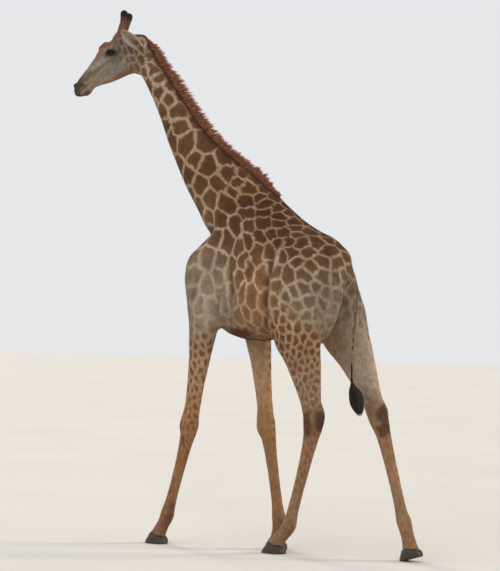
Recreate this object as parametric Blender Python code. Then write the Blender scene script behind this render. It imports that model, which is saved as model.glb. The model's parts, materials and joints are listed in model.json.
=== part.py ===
"""A walking giraffe, life size, as a still museum model. Metres, +Z up, head towards -X, its left side towards -Y.

The flesh is laid up like clay: tubes along the bones and pads for the muscles, joined by one voxel remesh, smoothed,
thinned to a light mesh and parted with thin cuts at the joints. Hooves, horns, ears, eyes, mane and tail are separate.
"""

import math

import bmesh
import bpy
import numpy as np
from mathutils import Matrix, Vector

# Driving sizes
VOXEL = 0.010
HEAD_SMOOTHING = 6
BODY_SMOOTHING = 14
ORIGIN_X = 0.168
HEAD_TRIANGLES = 950
LEG_TRIANGLES = 1580
TRUNK_TRIANGLES = 1040
LEG_TOP = 1.57
CUT_GAP = 0.0008
SKIN_GAP = 0.0008

# The head's own frame: forward along the muzzle, left, and up through the brow
HEAD_ORIGIN = Vector((-0.86, 0.0, 4.05))
HEAD_YAW = math.radians(22)
HEAD_PITCH = math.radians(36)
FORWARD = Vector(
    (-math.cos(HEAD_YAW) * math.cos(HEAD_PITCH), -math.sin(HEAD_YAW) * math.cos(HEAD_PITCH), -math.sin(HEAD_PITCH))
)
LEFTWARD = Vector((math.sin(HEAD_YAW), -math.cos(HEAD_YAW), 0.0))
BROW_UP = FORWARD.cross(LEFTWARD)
EYE_PLACE = (0.226, 0.088, 0.073)
EYE_RADIUS = 0.029

# Trunk: distance along X, spine, belly, half width, and how much narrower the back is than the belly
BARREL = (
    (-0.12, 2.33, 2.10, 0.07, 0.0),
    (-0.06, 2.46, 1.93, 0.15, 0.05),
    (0.04, 2.62, 1.71, 0.21, 0.15),
    (0.16, 2.74, 1.65, 0.26, 0.28),
    (0.30, 2.83, 1.627, 0.30, 0.38),
    (0.45, 2.81, 1.627, 0.325, 0.38),
    (0.60, 2.695, 1.650, 0.325, 0.30),
    (0.75, 2.575, 1.70, 0.300, 0.22),
    (0.90, 2.485, 1.76, 0.275, 0.14),
    (1.03, 2.43, 1.86, 0.245, 0.10),
    (1.12, 2.350, 1.97, 0.165, 0.08),
    (1.175, 2.26, 2.08, 0.085, 0.0),
)

# Neck: centre x, centre z, half depth, half width
NECK = (
    (0.300, 2.490, 0.240, 0.160),
    (0.133, 2.680, 0.310, 0.205),
    (-0.013, 2.831, 0.275, 0.185),
    (-0.150, 2.970, 0.238, 0.160),
    (-0.278, 3.130, 0.200, 0.136),
    (-0.389, 3.288, 0.173, 0.119),
    (-0.489, 3.457, 0.147, 0.105),
    (-0.596, 3.624, 0.124, 0.095),
    (-0.697, 3.777, 0.111, 0.088),
    (-0.791, 3.904, 0.107, 0.085),
    (-0.862, 4.000, 0.093, 0.078),
)

# Head: forward, crown, jaw, half width, and how much wider the lower half is
HEAD = (
    (-0.070, 0.045, -0.075, 0.058, 0.0),
    (-0.030, 0.085, -0.110, 0.076, 0.0),
    (0.050, 0.136, -0.155, 0.085, -0.05),
    (0.140, 0.158, -0.162, 0.088, -0.10),
    (0.230, 0.178, -0.132, 0.084, -0.10),
    (0.310, 0.186, -0.115, 0.072, -0.02),
    (0.390, 0.165, -0.093, 0.061, 0.05),
    (0.470, 0.139, -0.060, 0.053, 0.08),
    (0.540, 0.118, -0.042, 0.051, 0.05),
    (0.600, 0.100, -0.050, 0.056, 0.0),
    (0.645, 0.078, -0.040, 0.054, 0.0),
    (0.678, 0.052, -0.022, 0.041, 0.0),
    (0.695, 0.024, -0.008, 0.020, 0.0),
)

# Legs: joints from the trunk down to the fetlock, the hoof's place on the floor, its toe's direction and heel lift
LEGS = {
    "fore_left": {
        "joints": (
            (0.30, -0.13, 2.55),
            (-0.05, -0.215, 2.17),
            (-0.015, -0.205, 1.78),
            (-0.148, -0.205, 0.955),
            (-0.350, -0.222, 0.235),
        ),
        "hoof": (-0.452, -0.228),
        "toe": (-1.0, -0.05),
        "heel_lift": 0.0,
    },
    "fore_right": {
        "joints": (
            (0.40, 0.13, 2.55),
            (0.07, 0.215, 2.15),
            (0.210, 0.195, 1.79),
            (0.350, 0.140, 0.955),
            (0.507, 0.095, 0.235),
        ),
        "hoof": (0.485, 0.085),
        "toe": (-1.0, 0.05),
        "heel_lift": 0.0,
    },
    "hind_left": {
        "joints": (
            (0.92, -0.12, 2.25),
            (0.795, -0.210, 1.74),
            (0.990, -0.160, 1.035),
            (0.745, -0.115, 0.225),
        ),
        "hoof": (0.595, -0.105),
        "toe": (-1.0, -0.08),
        "heel_lift": 0.0,
        "buttock_lean": 13,
        "thigh_depth": 0.250,
    },
    "hind_right": {
        "joints": (
            (0.88, 0.12, 2.22),
            (0.965, 0.205, 1.74),
            (1.335, 0.190, 1.085),
            (1.578, 0.180, 0.285),
        ),
        "hoof": (1.648, 0.180),
        "toe": (-1.0, 0.12),
        "heel_lift": math.radians(17),
        "buttock_lean": -16,
        "thigh_depth": 0.205,
    },
}

# Leg shapes: segment, share of it, half depth, half width, and shift forward
FORE_SHAPE = (
    (0, 0.00, 0.13, 0.055, 0.0),
    (0, 0.50, 0.16, 0.070, 0.0),
    (1, 0.00, 0.155, 0.085, 0.0),
    (1, 0.50, 0.155, 0.095, 0.0),
    (2, 0.00, 0.148, 0.090, 0.010),
    (2, 0.15, 0.126, 0.082, 0.008),
    (2, 0.35, 0.100, 0.071, 0.0),
    (2, 0.60, 0.079, 0.061, 0.0),
    (2, 0.82, 0.070, 0.058, 0.0),
    (2, 0.94, 0.078, 0.066, 0.006),
    (3, 0.02, 0.085, 0.072, 0.006),
    (3, 0.10, 0.070, 0.060, -0.004),
    (3, 0.25, 0.057, 0.047, -0.006),
    (3, 0.55, 0.050, 0.041, -0.006),
    (3, 0.83, 0.050, 0.042, -0.004),
    (3, 0.95, 0.059, 0.050, 0.0),
    (4, 0.05, 0.062, 0.052, -0.004),
    (4, 0.45, 0.055, 0.048, -0.004),
    (4, 0.90, 0.062, 0.057, 0.0),
    (4, 1.45, 0.066, 0.060, 0.0),
)
HIND_SHAPE = (
    (0, 0.05, 0.20, 0.10, 0.0),
    (0, 0.45, 0.25, 0.125, 0.0),
    (0, 0.85, 0.245, 0.115, -0.03),
    (1, 0.10, 0.215, 0.100, -0.040),
    (1, 0.30, 0.170, 0.084, -0.040),
    (1, 0.55, 0.130, 0.068, -0.030),
    (1, 0.80, 0.092, 0.059, -0.012),
    (1, 0.95, 0.088, 0.062, 0.0),
    (2, 0.05, 0.086, 0.062, 0.0),
    (2, 0.15, 0.070, 0.054, -0.006),
    (2, 0.30, 0.058, 0.046, -0.008),
    (2, 0.60, 0.050, 0.041, -0.006),
    (2, 0.85, 0.050, 0.042, -0.002),
    (2, 0.96, 0.059, 0.050, 0.0),
    (3, 0.05, 0.062, 0.052, -0.002),
    (3, 0.45, 0.055, 0.048, -0.002),
    (3, 0.90, 0.061, 0.056, 0.0),
    (3, 1.45, 0.066, 0.060, 0.0),
)

# Hoof claws: height in front and behind, toe, heel and width from the cleft
CLAW_LEVELS = (
    (0.000, 0.000, 0.100, -0.100, 0.057),
    (0.022, 0.020, 0.090, -0.103, 0.061),
    (0.055, 0.040, 0.067, -0.098, 0.060),
    (0.085, 0.052, 0.050, -0.084, 0.053),
)
CLEFT_HALF = 0.004
CORONET = Vector((-0.017, 0.0, 0.0685))

# Mane: the nape's line from the poll to the withers (x, z) and the hair's height there
MANE = (
    (-0.790, 4.060, 0.030),
    (-0.745, 4.010, 0.068),
    (-0.655, 3.890, 0.080),
    (-0.530, 3.735, 0.084),
    (-0.405, 3.580, 0.088),
    (-0.285, 3.425, 0.084),
    (-0.165, 3.290, 0.080),
    (-0.020, 3.150, 0.076),
    (0.150, 3.030, 0.072),
    (0.320, 2.920, 0.070),
    (0.430, 2.825, 0.062),
    (0.495, 2.765, 0.028),
)
MANE_ROOT = 0.020

TAIL = (
    (1.050, 2.270, 0.040),
    (1.150, 2.225, 0.040),
    (1.213, 2.145, 0.034),
    (1.236, 2.050, 0.025),
    (1.245, 1.900, 0.017),
    (1.232, 1.740, 0.014),
    (1.222, 1.600, 0.012),
    (1.215, 1.460, 0.011),
    (1.222, 1.320, 0.010),
)
TAIL_TUFT = (
    (1.223, 1.314, 0.013),
    (1.236, 1.280, 0.036),
    (1.252, 1.225, 0.050),
    (1.270, 1.165, 0.050),
    (1.288, 1.112, 0.034),
    (1.298, 1.075, 0.012),
)

# Horns in the head's frame: forward, left, up, radius. The skin climbs a cone round each one's root
HORN_ROOT = (
    (0.175, 0.030, 0.085, 0.062),
    (0.142, 0.033, 0.138, 0.055),
    (0.108, 0.037, 0.170, 0.043),
    (0.080, 0.042, 0.188, 0.033),
)
HORN = (
    (0.130, 0.037, 0.115, 0.034),
    (0.112, 0.038, 0.148, 0.032),
    (0.088, 0.041, 0.178, 0.029),
    (0.054, 0.047, 0.203, 0.0265),
    (0.004, 0.056, 0.240, 0.0255),
    (-0.030, 0.063, 0.270, 0.0275),
    (-0.048, 0.068, 0.291, 0.0260),
    (-0.059, 0.071, 0.305, 0.0150),
)

# Ears in the head's frame: the mid line (forward, left, up), half width and cup depth
EAR = (
    (0.010, 0.060, -0.045, 0.020, 0.014),
    (0.004, 0.088, -0.020, 0.029, 0.022),
    (0.004, 0.112, 0.012, 0.043, 0.026),
    (0.014, 0.138, 0.050, 0.049, 0.024),
    (0.022, 0.164, 0.090, 0.041, 0.018),
    (0.028, 0.186, 0.125, 0.024, 0.010),
    (0.032, 0.200, 0.148, 0.007, 0.003),
)
EAR_OPENING = Vector((0.62, 0.62, -0.48))
EAR_HALF_THICKNESS = 0.0040

COLOURS = {
    "coat": ((0.50, 0.33, 0.20), 0.85),
    "mane_hair": ((0.36, 0.15, 0.07), 0.80),
    "tuft_hair": ((0.03, 0.025, 0.02), 0.75),
    "hoof": ((0.07, 0.055, 0.045), 0.55),
    "horn": ((0.24, 0.13, 0.08), 0.80),
    "eye": ((0.012, 0.008, 0.006), 0.08),
}


def clear_scene():
    for obj in list(bpy.data.objects):
        bpy.data.objects.remove(obj, do_unlink=True)


def material(name):
    """The Principled finish of one of the model's materials, made once."""
    found = bpy.data.materials.get(name)
    if found:
        return found
    colour, roughness = COLOURS[name]
    made = bpy.data.materials.new(name)
    made.use_nodes = True
    shader = made.node_tree.nodes["Principled BSDF"]
    shader.inputs["Base Color"].default_value = (*colour, 1.0)
    shader.inputs["Roughness"].default_value = roughness
    return made


def object_from(name, bm, finish):
    """A new smooth-shaded object from a bmesh, with its normals outward."""
    bmesh.ops.recalc_face_normals(bm, faces=bm.faces)
    mesh = bpy.data.meshes.new(name)
    bm.to_mesh(mesh)
    bm.free()
    mesh.materials.append(material(finish))
    mesh.shade_smooth()
    obj = bpy.data.objects.new(name, mesh)
    bpy.context.scene.collection.objects.link(obj)
    return obj


def head_point(forward, left, up):
    """A point of the head's own frame, in the world."""
    return HEAD_ORIGIN + FORWARD * forward + LEFTWARD * left + BROW_UP * up


def refined(rows, steps):
    """A smooth curve of rows through the given rows, with steps rows for each span (Catmull-Rom)."""
    rows = np.array(rows, float)
    padded = np.vstack([2 * rows[0] - rows[1], rows, 2 * rows[-1] - rows[-2]])
    found = []
    for a, b, c, d in zip(padded, padded[1:], padded[2:], padded[3:]):
        for t in np.arange(steps) / steps:
            found.append(
                0.5 * (2 * b + (c - a) * t + (2 * a - 5 * b + 4 * c - d) * t**2 + (3 * b - a - 3 * c + d) * t**3)
            )
    found.append(rows[-1])
    return np.array(found)


def add_rings(bm, rings):
    """Bridges closed rings of points into a tube, with a flat cap at each end."""
    loops = [[bm.verts.new(point) for point in ring] for ring in rings]
    for lower, upper in zip(loops, loops[1:]):
        for i in range(len(lower)):
            j = (i + 1) % len(lower)
            bm.faces.new((lower[i], lower[j], upper[j]))
            bm.faces.new((lower[i], upper[j], upper[i]))
    bm.faces.new(loops[0][::-1])
    bm.faces.new(loops[-1])


def add_tube(bm, stations, side=(0.0, 1.0, 0.0), steps=3, sides=20, taper=0.0):
    """A tube along stations of (x, y, z, half depth, half width): width along side, depth across it.

    A positive taper narrows the side that lies against along x side.
    """
    rows = refined(stations, steps)
    centres = rows[:, :3]
    tangents = np.gradient(centres, axis=0)
    rings = []
    for centre, tangent, depth, width in zip(centres, tangents, rows[:, 3], rows[:, 4]):
        along = Vector(tangent).normalized()
        across = Vector(side) - along * along.dot(Vector(side))
        across.normalize()
        deep = along.cross(across)
        rings.append(
            [
                Vector(centre) + across * (math.sin(angle) * width * (1 + taper * math.cos(angle))) + deep * (math.cos(angle) * depth)
                for angle in np.arange(sides) * (2 * math.pi / sides)
            ]
        )
    add_rings(bm, rings)


def add_slices(bm, slices, place, steps=3, sides=28):
    """A body of slices (station, top, bottom, half width, taper). place(station, across, height) gives the world point."""
    rings = []
    for station, top, bottom, half, taper in refined(slices, steps):
        middle, reach = (top + bottom) / 2, (top - bottom) / 2
        ring = []
        for angle in np.arange(sides) * (2 * math.pi / sides):
            across = half * math.sin(angle) * (1 - taper * math.cos(angle))
            ring.append(place(station, across, middle + reach * math.cos(angle)))
        rings.append(ring)
    add_rings(bm, rings)


def add_pad(bm, centre, radii, rotation=None):
    """A muscle or bone pad: an ellipsoid of three radii, turned by a rotation matrix."""
    turn = (rotation or Matrix.Identity(3)).to_4x4()
    matrix = Matrix.Translation(centre) @ turn @ Matrix.Diagonal((*radii, 1.0))
    bmesh.ops.create_uvsphere(bm, u_segments=20, v_segments=12, radius=1.0, matrix=matrix)


def lean(degrees):
    """A rotation about the Y axis: positive leans the top towards the tail."""
    return Matrix.Rotation(math.radians(degrees), 3, "Y")


HEAD_AXES = Matrix((FORWARD, LEFTWARD, BROW_UP)).transposed()


def add_trunk(bm):
    add_slices(bm, BARREL, lambda x, y, z: Vector((x, y, z)))
    for side in (-1, 1):
        add_pad(bm, (0.79, side * 0.160, 2.34), (0.20, 0.085, 0.13), lean(30))
        add_pad(bm, (0.165, side * 0.145, 2.37), (0.18, 0.090, 0.32), lean(22))
    add_pad(bm, (-0.03, 0.0, 2.12), (0.14, 0.17, 0.20))
    add_pad(bm, (0.40, 0.0, 2.72), (0.20, 0.07, 0.13), lean(30))
    add_pad(bm, (1.085, 0.0, 2.265), (0.12, 0.080, 0.080), lean(35))


def add_neck(bm):
    add_tube(bm, [(x, 0.0, z, depth, width) for x, z, depth, width in NECK], steps=4, sides=28, taper=0.12)


def add_head(bm):
    add_slices(bm, HEAD, head_point, steps=4)
    add_pad(bm, head_point(0.265, 0.0, 0.180), (0.062, 0.040, 0.050), HEAD_AXES)
    add_pad(bm, head_point(0.634, 0.0, 0.012), (0.066, 0.040, 0.045), HEAD_AXES)
    add_pad(bm, head_point(0.082, 0.0, -0.148), (0.100, 0.054, 0.078), HEAD_AXES)
    add_pad(bm, head_point(0.590, 0.0, -0.036), (0.050, 0.036, 0.024), HEAD_AXES)
    for side in (-1, 1):
        add_pad(bm, head_point(0.222, side * 0.074, 0.085), (0.078, 0.034, 0.054), HEAD_AXES)
        add_pad(bm, head_point(0.225, side * 0.088, 0.124), (0.052, 0.026, 0.020), HEAD_AXES)
        add_pad(bm, head_point(0.150, side * 0.058, -0.055), (0.110, 0.036, 0.080), HEAD_AXES)
        add_pad(bm, head_point(0.300, side * 0.052, 0.060), (0.120, 0.030, 0.035), HEAD_AXES)
        add_pad(bm, head_point(0.120, side * 0.050, 0.125), (0.070, 0.040, 0.050), HEAD_AXES)
        add_pad(bm, head_point(0.000, side * 0.066, -0.020), (0.050, 0.040, 0.060), HEAD_AXES)
        add_pad(bm, head_point(0.630, side * 0.038, 0.052), (0.040, 0.020, 0.026), HEAD_AXES)
        root = [(*head_point(forward, side * left, up), radius, radius) for forward, left, up, radius in HORN_ROOT]
        add_tube(bm, root, side=LEFTWARD)


def hoof_frame(leg):
    """The world placement of a hoof: forward to the toe along X, across along Y, and up."""
    toe = Vector((*leg["toe"], 0.0)).normalized()
    across = Vector((0.0, 0.0, 1.0)).cross(toe)
    turn = Matrix((toe, across, Vector((0.0, 0.0, 1.0)))).transposed().to_4x4()
    tip = CLAW_LEVELS[0][2]
    lift = Matrix.Translation((tip, 0, -0.010 if leg["heel_lift"] else 0.0))
    lift = lift @ Matrix.Rotation(leg["heel_lift"], 4, "Y") @ Matrix.Translation((-tip, 0, 0))
    return Matrix.Translation((*leg["hoof"], 0.0)) @ turn @ lift


def leg_joints(leg):
    """The leg's joints, with the coronet's centre last."""
    return [Vector(joint) for joint in leg["joints"]] + [hoof_frame(leg) @ CORONET]


def leg_stations(joints, shape):
    """The stations of a leg's tube, each shape row placed on the bones between the joints."""
    stations = []
    for segment, share, depth, width, shift in shape:
        centre = joints[segment].lerp(joints[segment + 1], share)
        stations.append((centre.x - shift, centre.y, centre.z, depth, width))
    return stations


def add_fore_leg(bm, leg):
    joints = leg_joints(leg)
    add_tube(bm, leg_stations(joints, FORE_SHAPE))
    side = 1 if joints[2].y > 0 else -1
    add_pad(bm, joints[1] + Vector((-0.01, 0.0, 0.02)), (0.135, 0.10, 0.16))
    add_pad(bm, joints[1].lerp(joints[2], 0.6) + Vector((0.10, side * 0.01, 0.04)), (0.12, 0.08, 0.19), lean(-15))
    add_pad(bm, joints[3] + Vector((-0.035, 0.0, 0.02)), (0.045, 0.055, 0.065))
    add_pad(bm, joints[3] + Vector((0.045, 0.0, 0.03)), (0.035, 0.035, 0.060))
    add_pad(bm, joints[4] + Vector((0.035, 0.0, 0.012)), (0.032, 0.040, 0.045))


def add_hind_leg(bm, leg):
    joints = leg_joints(leg)
    add_tube(bm, leg_stations(joints, HIND_SHAPE), steps=4)
    side = 1 if joints[1].y > 0 else -1
    shin = joints[1] - joints[2]
    heel = joints[2] + shin.normalized() * 0.075 + Vector((0.080, 0.0, 0.0))
    tendon = (
        (joints[2] + Vector((0.015, 0, -0.07)), 0.045, 0.035),
        (joints[2] + Vector((0.050, 0, 0.01)), 0.045, 0.038),
        (heel, 0.032, 0.034),
        (heel + shin * 0.12, 0.022, 0.024),
        (heel + shin * 0.30 + Vector((-0.01, 0, 0)), 0.024, 0.022),
    )
    add_tube(bm, [(*centre, depth, width) for centre, depth, width in tendon])
    add_pad(bm, joints[1] + Vector((-0.04, 0.0, 0.05)), (0.13, 0.085, 0.16))
    hip = joints[0]
    thigh = Vector((hip.x, hip.y, 2.34)) - joints[1]
    slant = math.degrees(math.atan2(thigh.x, thigh.z))
    middle = joints[1] + thigh * 0.46
    add_pad(bm, (middle.x, side * 0.195, middle.z), (leg["thigh_depth"], 0.135, 0.36), lean(slant))
    add_pad(bm, (1.045, side * 0.120, 1.95), (0.155, 0.100, 0.36), lean(leg["buttock_lean"]))
    add_tube(
        bm,
        [
            (0.97, side * 0.15, 2.28, 0.10, 0.06),
            (0.97, side * 0.160, 2.07, 0.18, 0.10),
            (*(joints[1].lerp(hip, 0.30) + Vector((0.10, 0.0, 0.0))), 0.15, 0.095),
            (*joints[1].lerp(joints[2], 0.30), 0.10, 0.07),
        ],
    )
    add_pad(bm, joints[3] + Vector((0.035, 0.0, 0.012)), (0.032, 0.040, 0.045))


def add_eye(bm, side, grow=0.0):
    forward, left, up = EYE_PLACE
    matrix = Matrix.Translation(head_point(forward, side * left, up)) @ HEAD_AXES.to_4x4()
    bmesh.ops.create_uvsphere(bm, u_segments=12, v_segments=8, radius=EYE_RADIUS + grow, matrix=matrix)


def add_horn(bm, side, grow=0.0):
    rows = [(*head_point(forward, side * left, up), radius + grow, radius + grow) for forward, left, up, radius in HORN]
    if grow:
        rows[0] = (*(Vector(rows[0][:3]) * 2 - Vector(rows[1][:3])).lerp(Vector(rows[0][:3]), 0.9), *rows[0][3:])
    add_tube(bm, rows, side=LEFTWARD, steps=1, sides=10)


def add_ear(bm, side, grow=0.0):
    """A cupped leaf: each slice is a crescent, open towards EAR_OPENING."""
    rows = np.array(EAR)
    opening = FORWARD * EAR_OPENING.x + LEFTWARD * (side * EAR_OPENING.y) + BROW_UP * EAR_OPENING.z
    centres = [head_point(forward, side * left, up) for forward, left, up in rows[:, :3]]
    half = EAR_HALF_THICKNESS + grow
    rings = []
    for i, centre in enumerate(centres):
        along = (centres[min(i + 1, len(centres) - 1)] - centres[max(i - 1, 0)]).normalized()
        if grow and i == 0:
            centre = centre - along * grow
        across = opening.cross(along).normalized()
        facing = along.cross(across).normalized()
        width, cup = rows[i, 3], rows[i, 4]
        bowl = []
        for share in np.linspace(-1, 1, 5):
            bowl.append((share * width, cup * share * share))
        inner = [centre + across * x + facing * (y + half) for x, y in bowl]
        outer = [centre + across * (x * (1 + half / width)) + facing * (y - half) for x, y in bowl]
        rings.append(inner + outer[::-1])
    add_rings(bm, rings)


def add_mane(bm, grow=0.0):
    """A tapering band of hair standing on the nape, its root sunk in the neck."""
    rows = np.array(MANE)
    slopes = np.gradient(rows[:, :2], axis=0)
    rings = []
    for i, ((x, z, height), slope) in enumerate(zip(rows, slopes)):
        along = Vector((slope[0], 0.0, slope[1])).normalized()
        away = Vector((-along.z, 0.0, along.x))
        base = Vector((x, 0.0, z)) + along * (-grow if i == 0 else grow if i == len(rows) - 1 else 0.0)
        ring = [
            base + away * (height + grow) + Vector((0, -0.007 - grow, 0)),
            base + away * (height + grow) + Vector((0, 0.007 + grow, 0)),
            base + away * (height * 0.5) + Vector((0, 0.018 + grow, 0)),
            base + Vector((0, 0.024 + grow, 0)),
            base - away * (MANE_ROOT + grow) + Vector((0, 0.018 + grow, 0)),
            base - away * (MANE_ROOT + grow) + Vector((0, -0.018 - grow, 0)),
            base + Vector((0, -0.024 - grow, 0)),
            base + away * (height * 0.5) + Vector((0, -0.018 - grow, 0)),
        ]
        rings.append(ring)
    add_rings(bm, rings)


def add_tail(bm, grow=0.0):
    rows = [(x, 0.0, z, radius + grow, radius + grow) for x, z, radius in TAIL]
    if grow:
        rows[0] = (rows[0][0] - grow, *rows[0][1:])
    add_tube(bm, rows, steps=1, sides=10)


def add_tuft(bm):
    add_tube(bm, [(x, 0.0, z, radius, radius) for x, z, radius in TAIL_TUFT], steps=2, sides=10)


def add_claw(bm, leg, outer):
    """One of the two claws of a hoof. Its inner side is flat along the cleft."""
    frame = hoof_frame(leg)
    rings = []
    for top_front, top_rear, toe, heel, width in CLAW_LEVELS:
        middle, reach = (toe + heel) / 2, (toe - heel) / 2
        plan = [
            (middle + reach * math.cos(angle), width * math.sin(angle) ** 0.8)
            for angle in np.linspace(0, math.pi, 11)
        ]
        plan += [(middle - reach * 0.33, 0.0), (middle + reach * 0.33, 0.0)]
        ring = []
        for forward, across in plan:
            rise = (forward - heel) / (toe - heel)
            point = frame @ Vector((forward, outer * (CLEFT_HALF + across), top_rear + (top_front - top_rear) * rise))
            ring.append(point)
        rings.append(ring)
    add_rings(bm, rings)
    if leg["heel_lift"]:
        wear_flat(bm)


def wear_flat(bm):
    """Takes off what is below the floor, which leaves a small flat under the toe."""
    geometry = [*bm.verts, *bm.edges, *bm.faces]
    bmesh.ops.bisect_plane(bm, geom=geometry, plane_co=(0, 0, 0), plane_no=(0, 0, 1), clear_inner=True)
    rim = [edge for edge in bm.edges if edge.is_boundary]
    bmesh.ops.holes_fill(bm, edges=rim)
    bmesh.ops.triangulate(bm, faces=bm.faces[:])


def add_under_hoof(bm, leg):
    """The room that the hoof takes: everything below the coronet's plane."""
    front, rear = CLAW_LEVELS[-1][0], CLAW_LEVELS[-1][1]
    toe, heel = CLAW_LEVELS[-1][2], CLAW_LEVELS[-1][3]
    tilt = Matrix.Rotation(-math.atan2(front - rear, toe - heel), 4, "Y")
    place = hoof_frame(leg) @ Matrix.Translation(((toe + heel) / 2, 0, (front + rear) / 2 + SKIN_GAP)) @ tilt
    matrix = place @ Matrix.Translation((0, 0, -0.06)) @ Matrix.Diagonal((0.22, 0.20, 0.12, 1.0))
    bmesh.ops.create_cube(bm, size=1.0, matrix=matrix)


def add_slab(bm, centre, normal, reach):
    """A thin square cut across the flesh."""
    turn = Vector(normal).normalized().to_track_quat("Z", "Y").to_matrix().to_4x4()
    matrix = Matrix.Translation(centre) @ turn @ Matrix.Diagonal((reach * 2, reach * 2, CUT_GAP, 1.0))
    bmesh.ops.create_cube(bm, size=1.0, matrix=matrix)


def evaluated_copy(source):
    """A plain object with the mesh that source's modifiers make; source is removed."""
    graph = bpy.context.evaluated_depsgraph_get()
    mesh = bpy.data.meshes.new_from_object(source.evaluated_get(graph))
    name = source.name
    bpy.data.objects.remove(source, do_unlink=True)
    made = bpy.data.objects.new(name, mesh)
    bpy.context.scene.collection.objects.link(made)
    return made


def thinned(body, inside, triangles):
    """The body with about so many triangles left where inside(place) holds."""
    group = body.vertex_groups.new(name="thin")
    chosen = [vertex.index for vertex in body.data.vertices if inside(vertex.co)]
    group.add(chosen, 1.0, "REPLACE")
    chosen = set(chosen)
    total = len(body.data.loop_triangles)
    there = sum(all(index in chosen for index in triangle.vertices) for triangle in body.data.loop_triangles)
    thin = body.modifiers.new("thin", "DECIMATE")
    thin.use_collapse_triangulate = True
    thin.vertex_group = group.name
    thin.vertex_group_factor = 1.0
    thin.ratio = (total - there + triangles) / total
    made = evaluated_copy(body)
    made.vertex_groups.clear()
    return made


def in_head(place):
    return (place - head_point(0.28, 0.0, 0.03)).length < 0.46 and (place - HEAD_ORIGIN).dot(FORWARD) > -0.09


def in_leg(place):
    return place.z < 1.62


def flesh():
    """All of the body's flesh as one light, closed mesh."""
    bm = bmesh.new()
    add_trunk(bm)
    add_neck(bm)
    add_head(bm)
    for name, leg in LEGS.items():
        (add_fore_leg if name.startswith("fore") else add_hind_leg)(bm, leg)
    body = object_from("flesh", bm, "coat")
    remesh = body.modifiers.new("join", "REMESH")
    remesh.mode = "VOXEL"
    remesh.voxel_size = VOXEL
    body = evaluated_copy(body)
    soft = body.vertex_groups.new(name="body")
    soft.add([vertex.index for vertex in body.data.vertices if not in_head(vertex.co)], 1.0, "REPLACE")
    for rounds, group in ((HEAD_SMOOTHING, ""), (BODY_SMOOTHING, soft.name)):
        smooth = body.modifiers.new("soften", "SMOOTH")
        smooth.factor = 0.5
        smooth.iterations = rounds
        smooth.vertex_group = group
    body = evaluated_copy(body)
    body.data.calc_loop_triangles()
    for inside, triangles in (
        (in_head, HEAD_TRIANGLES),
        (in_leg, LEG_TRIANGLES),
        (lambda place: not in_head(place) and not in_leg(place), TRUNK_TRIANGLES),
    ):
        body = thinned(body, inside, triangles)
        body.data.calc_loop_triangles()
    return body


def cut(body, bm):
    """The body with the solids of a bmesh taken away."""
    cutter = object_from("cutter", bm, "coat")
    modifier = body.modifiers.new("cut", "BOOLEAN")
    modifier.operation = "DIFFERENCE"
    modifier.solver = "EXACT"
    modifier.object = cutter
    made = evaluated_copy(body)
    bpy.data.objects.remove(cutter, do_unlink=True)
    return made


def parted(body, anchors):
    """Splits the body into its loose pieces, each named by the anchor nearest its middle."""
    bm = bmesh.new()
    bm.from_mesh(body.data)
    bm.verts.ensure_lookup_table()
    left = set(bm.verts)
    for seed in bm.verts:
        if seed not in left:
            continue
        piece, front = {seed}, [seed]
        while front:
            for edge in front.pop().link_edges:
                for vertex in edge.verts:
                    if vertex not in piece:
                        piece.add(vertex)
                        front.append(vertex)
        left -= piece
        ordered = sorted(piece, key=lambda vertex: vertex.index)
        middle = sum((vertex.co for vertex in ordered), Vector()) / len(ordered)
        name = min(anchors, key=lambda key: (anchors[key] - middle).length)
        made = bmesh.new()
        copies = {vertex: made.verts.new(vertex.co) for vertex in ordered}
        for face in bm.faces:
            if face.verts[0] in piece:
                made.faces.new([copies[vertex] for vertex in face.verts])
        object_from(name, made, "coat")
    bm.free()
    bpy.data.objects.remove(body, do_unlink=True)


def single(name, finish, add, *arguments):
    """A sub-part made by one add function, moved to the model's own origin."""
    bm = bmesh.new()
    add(bm, *arguments)
    return object_from(name, bm, finish)


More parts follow.
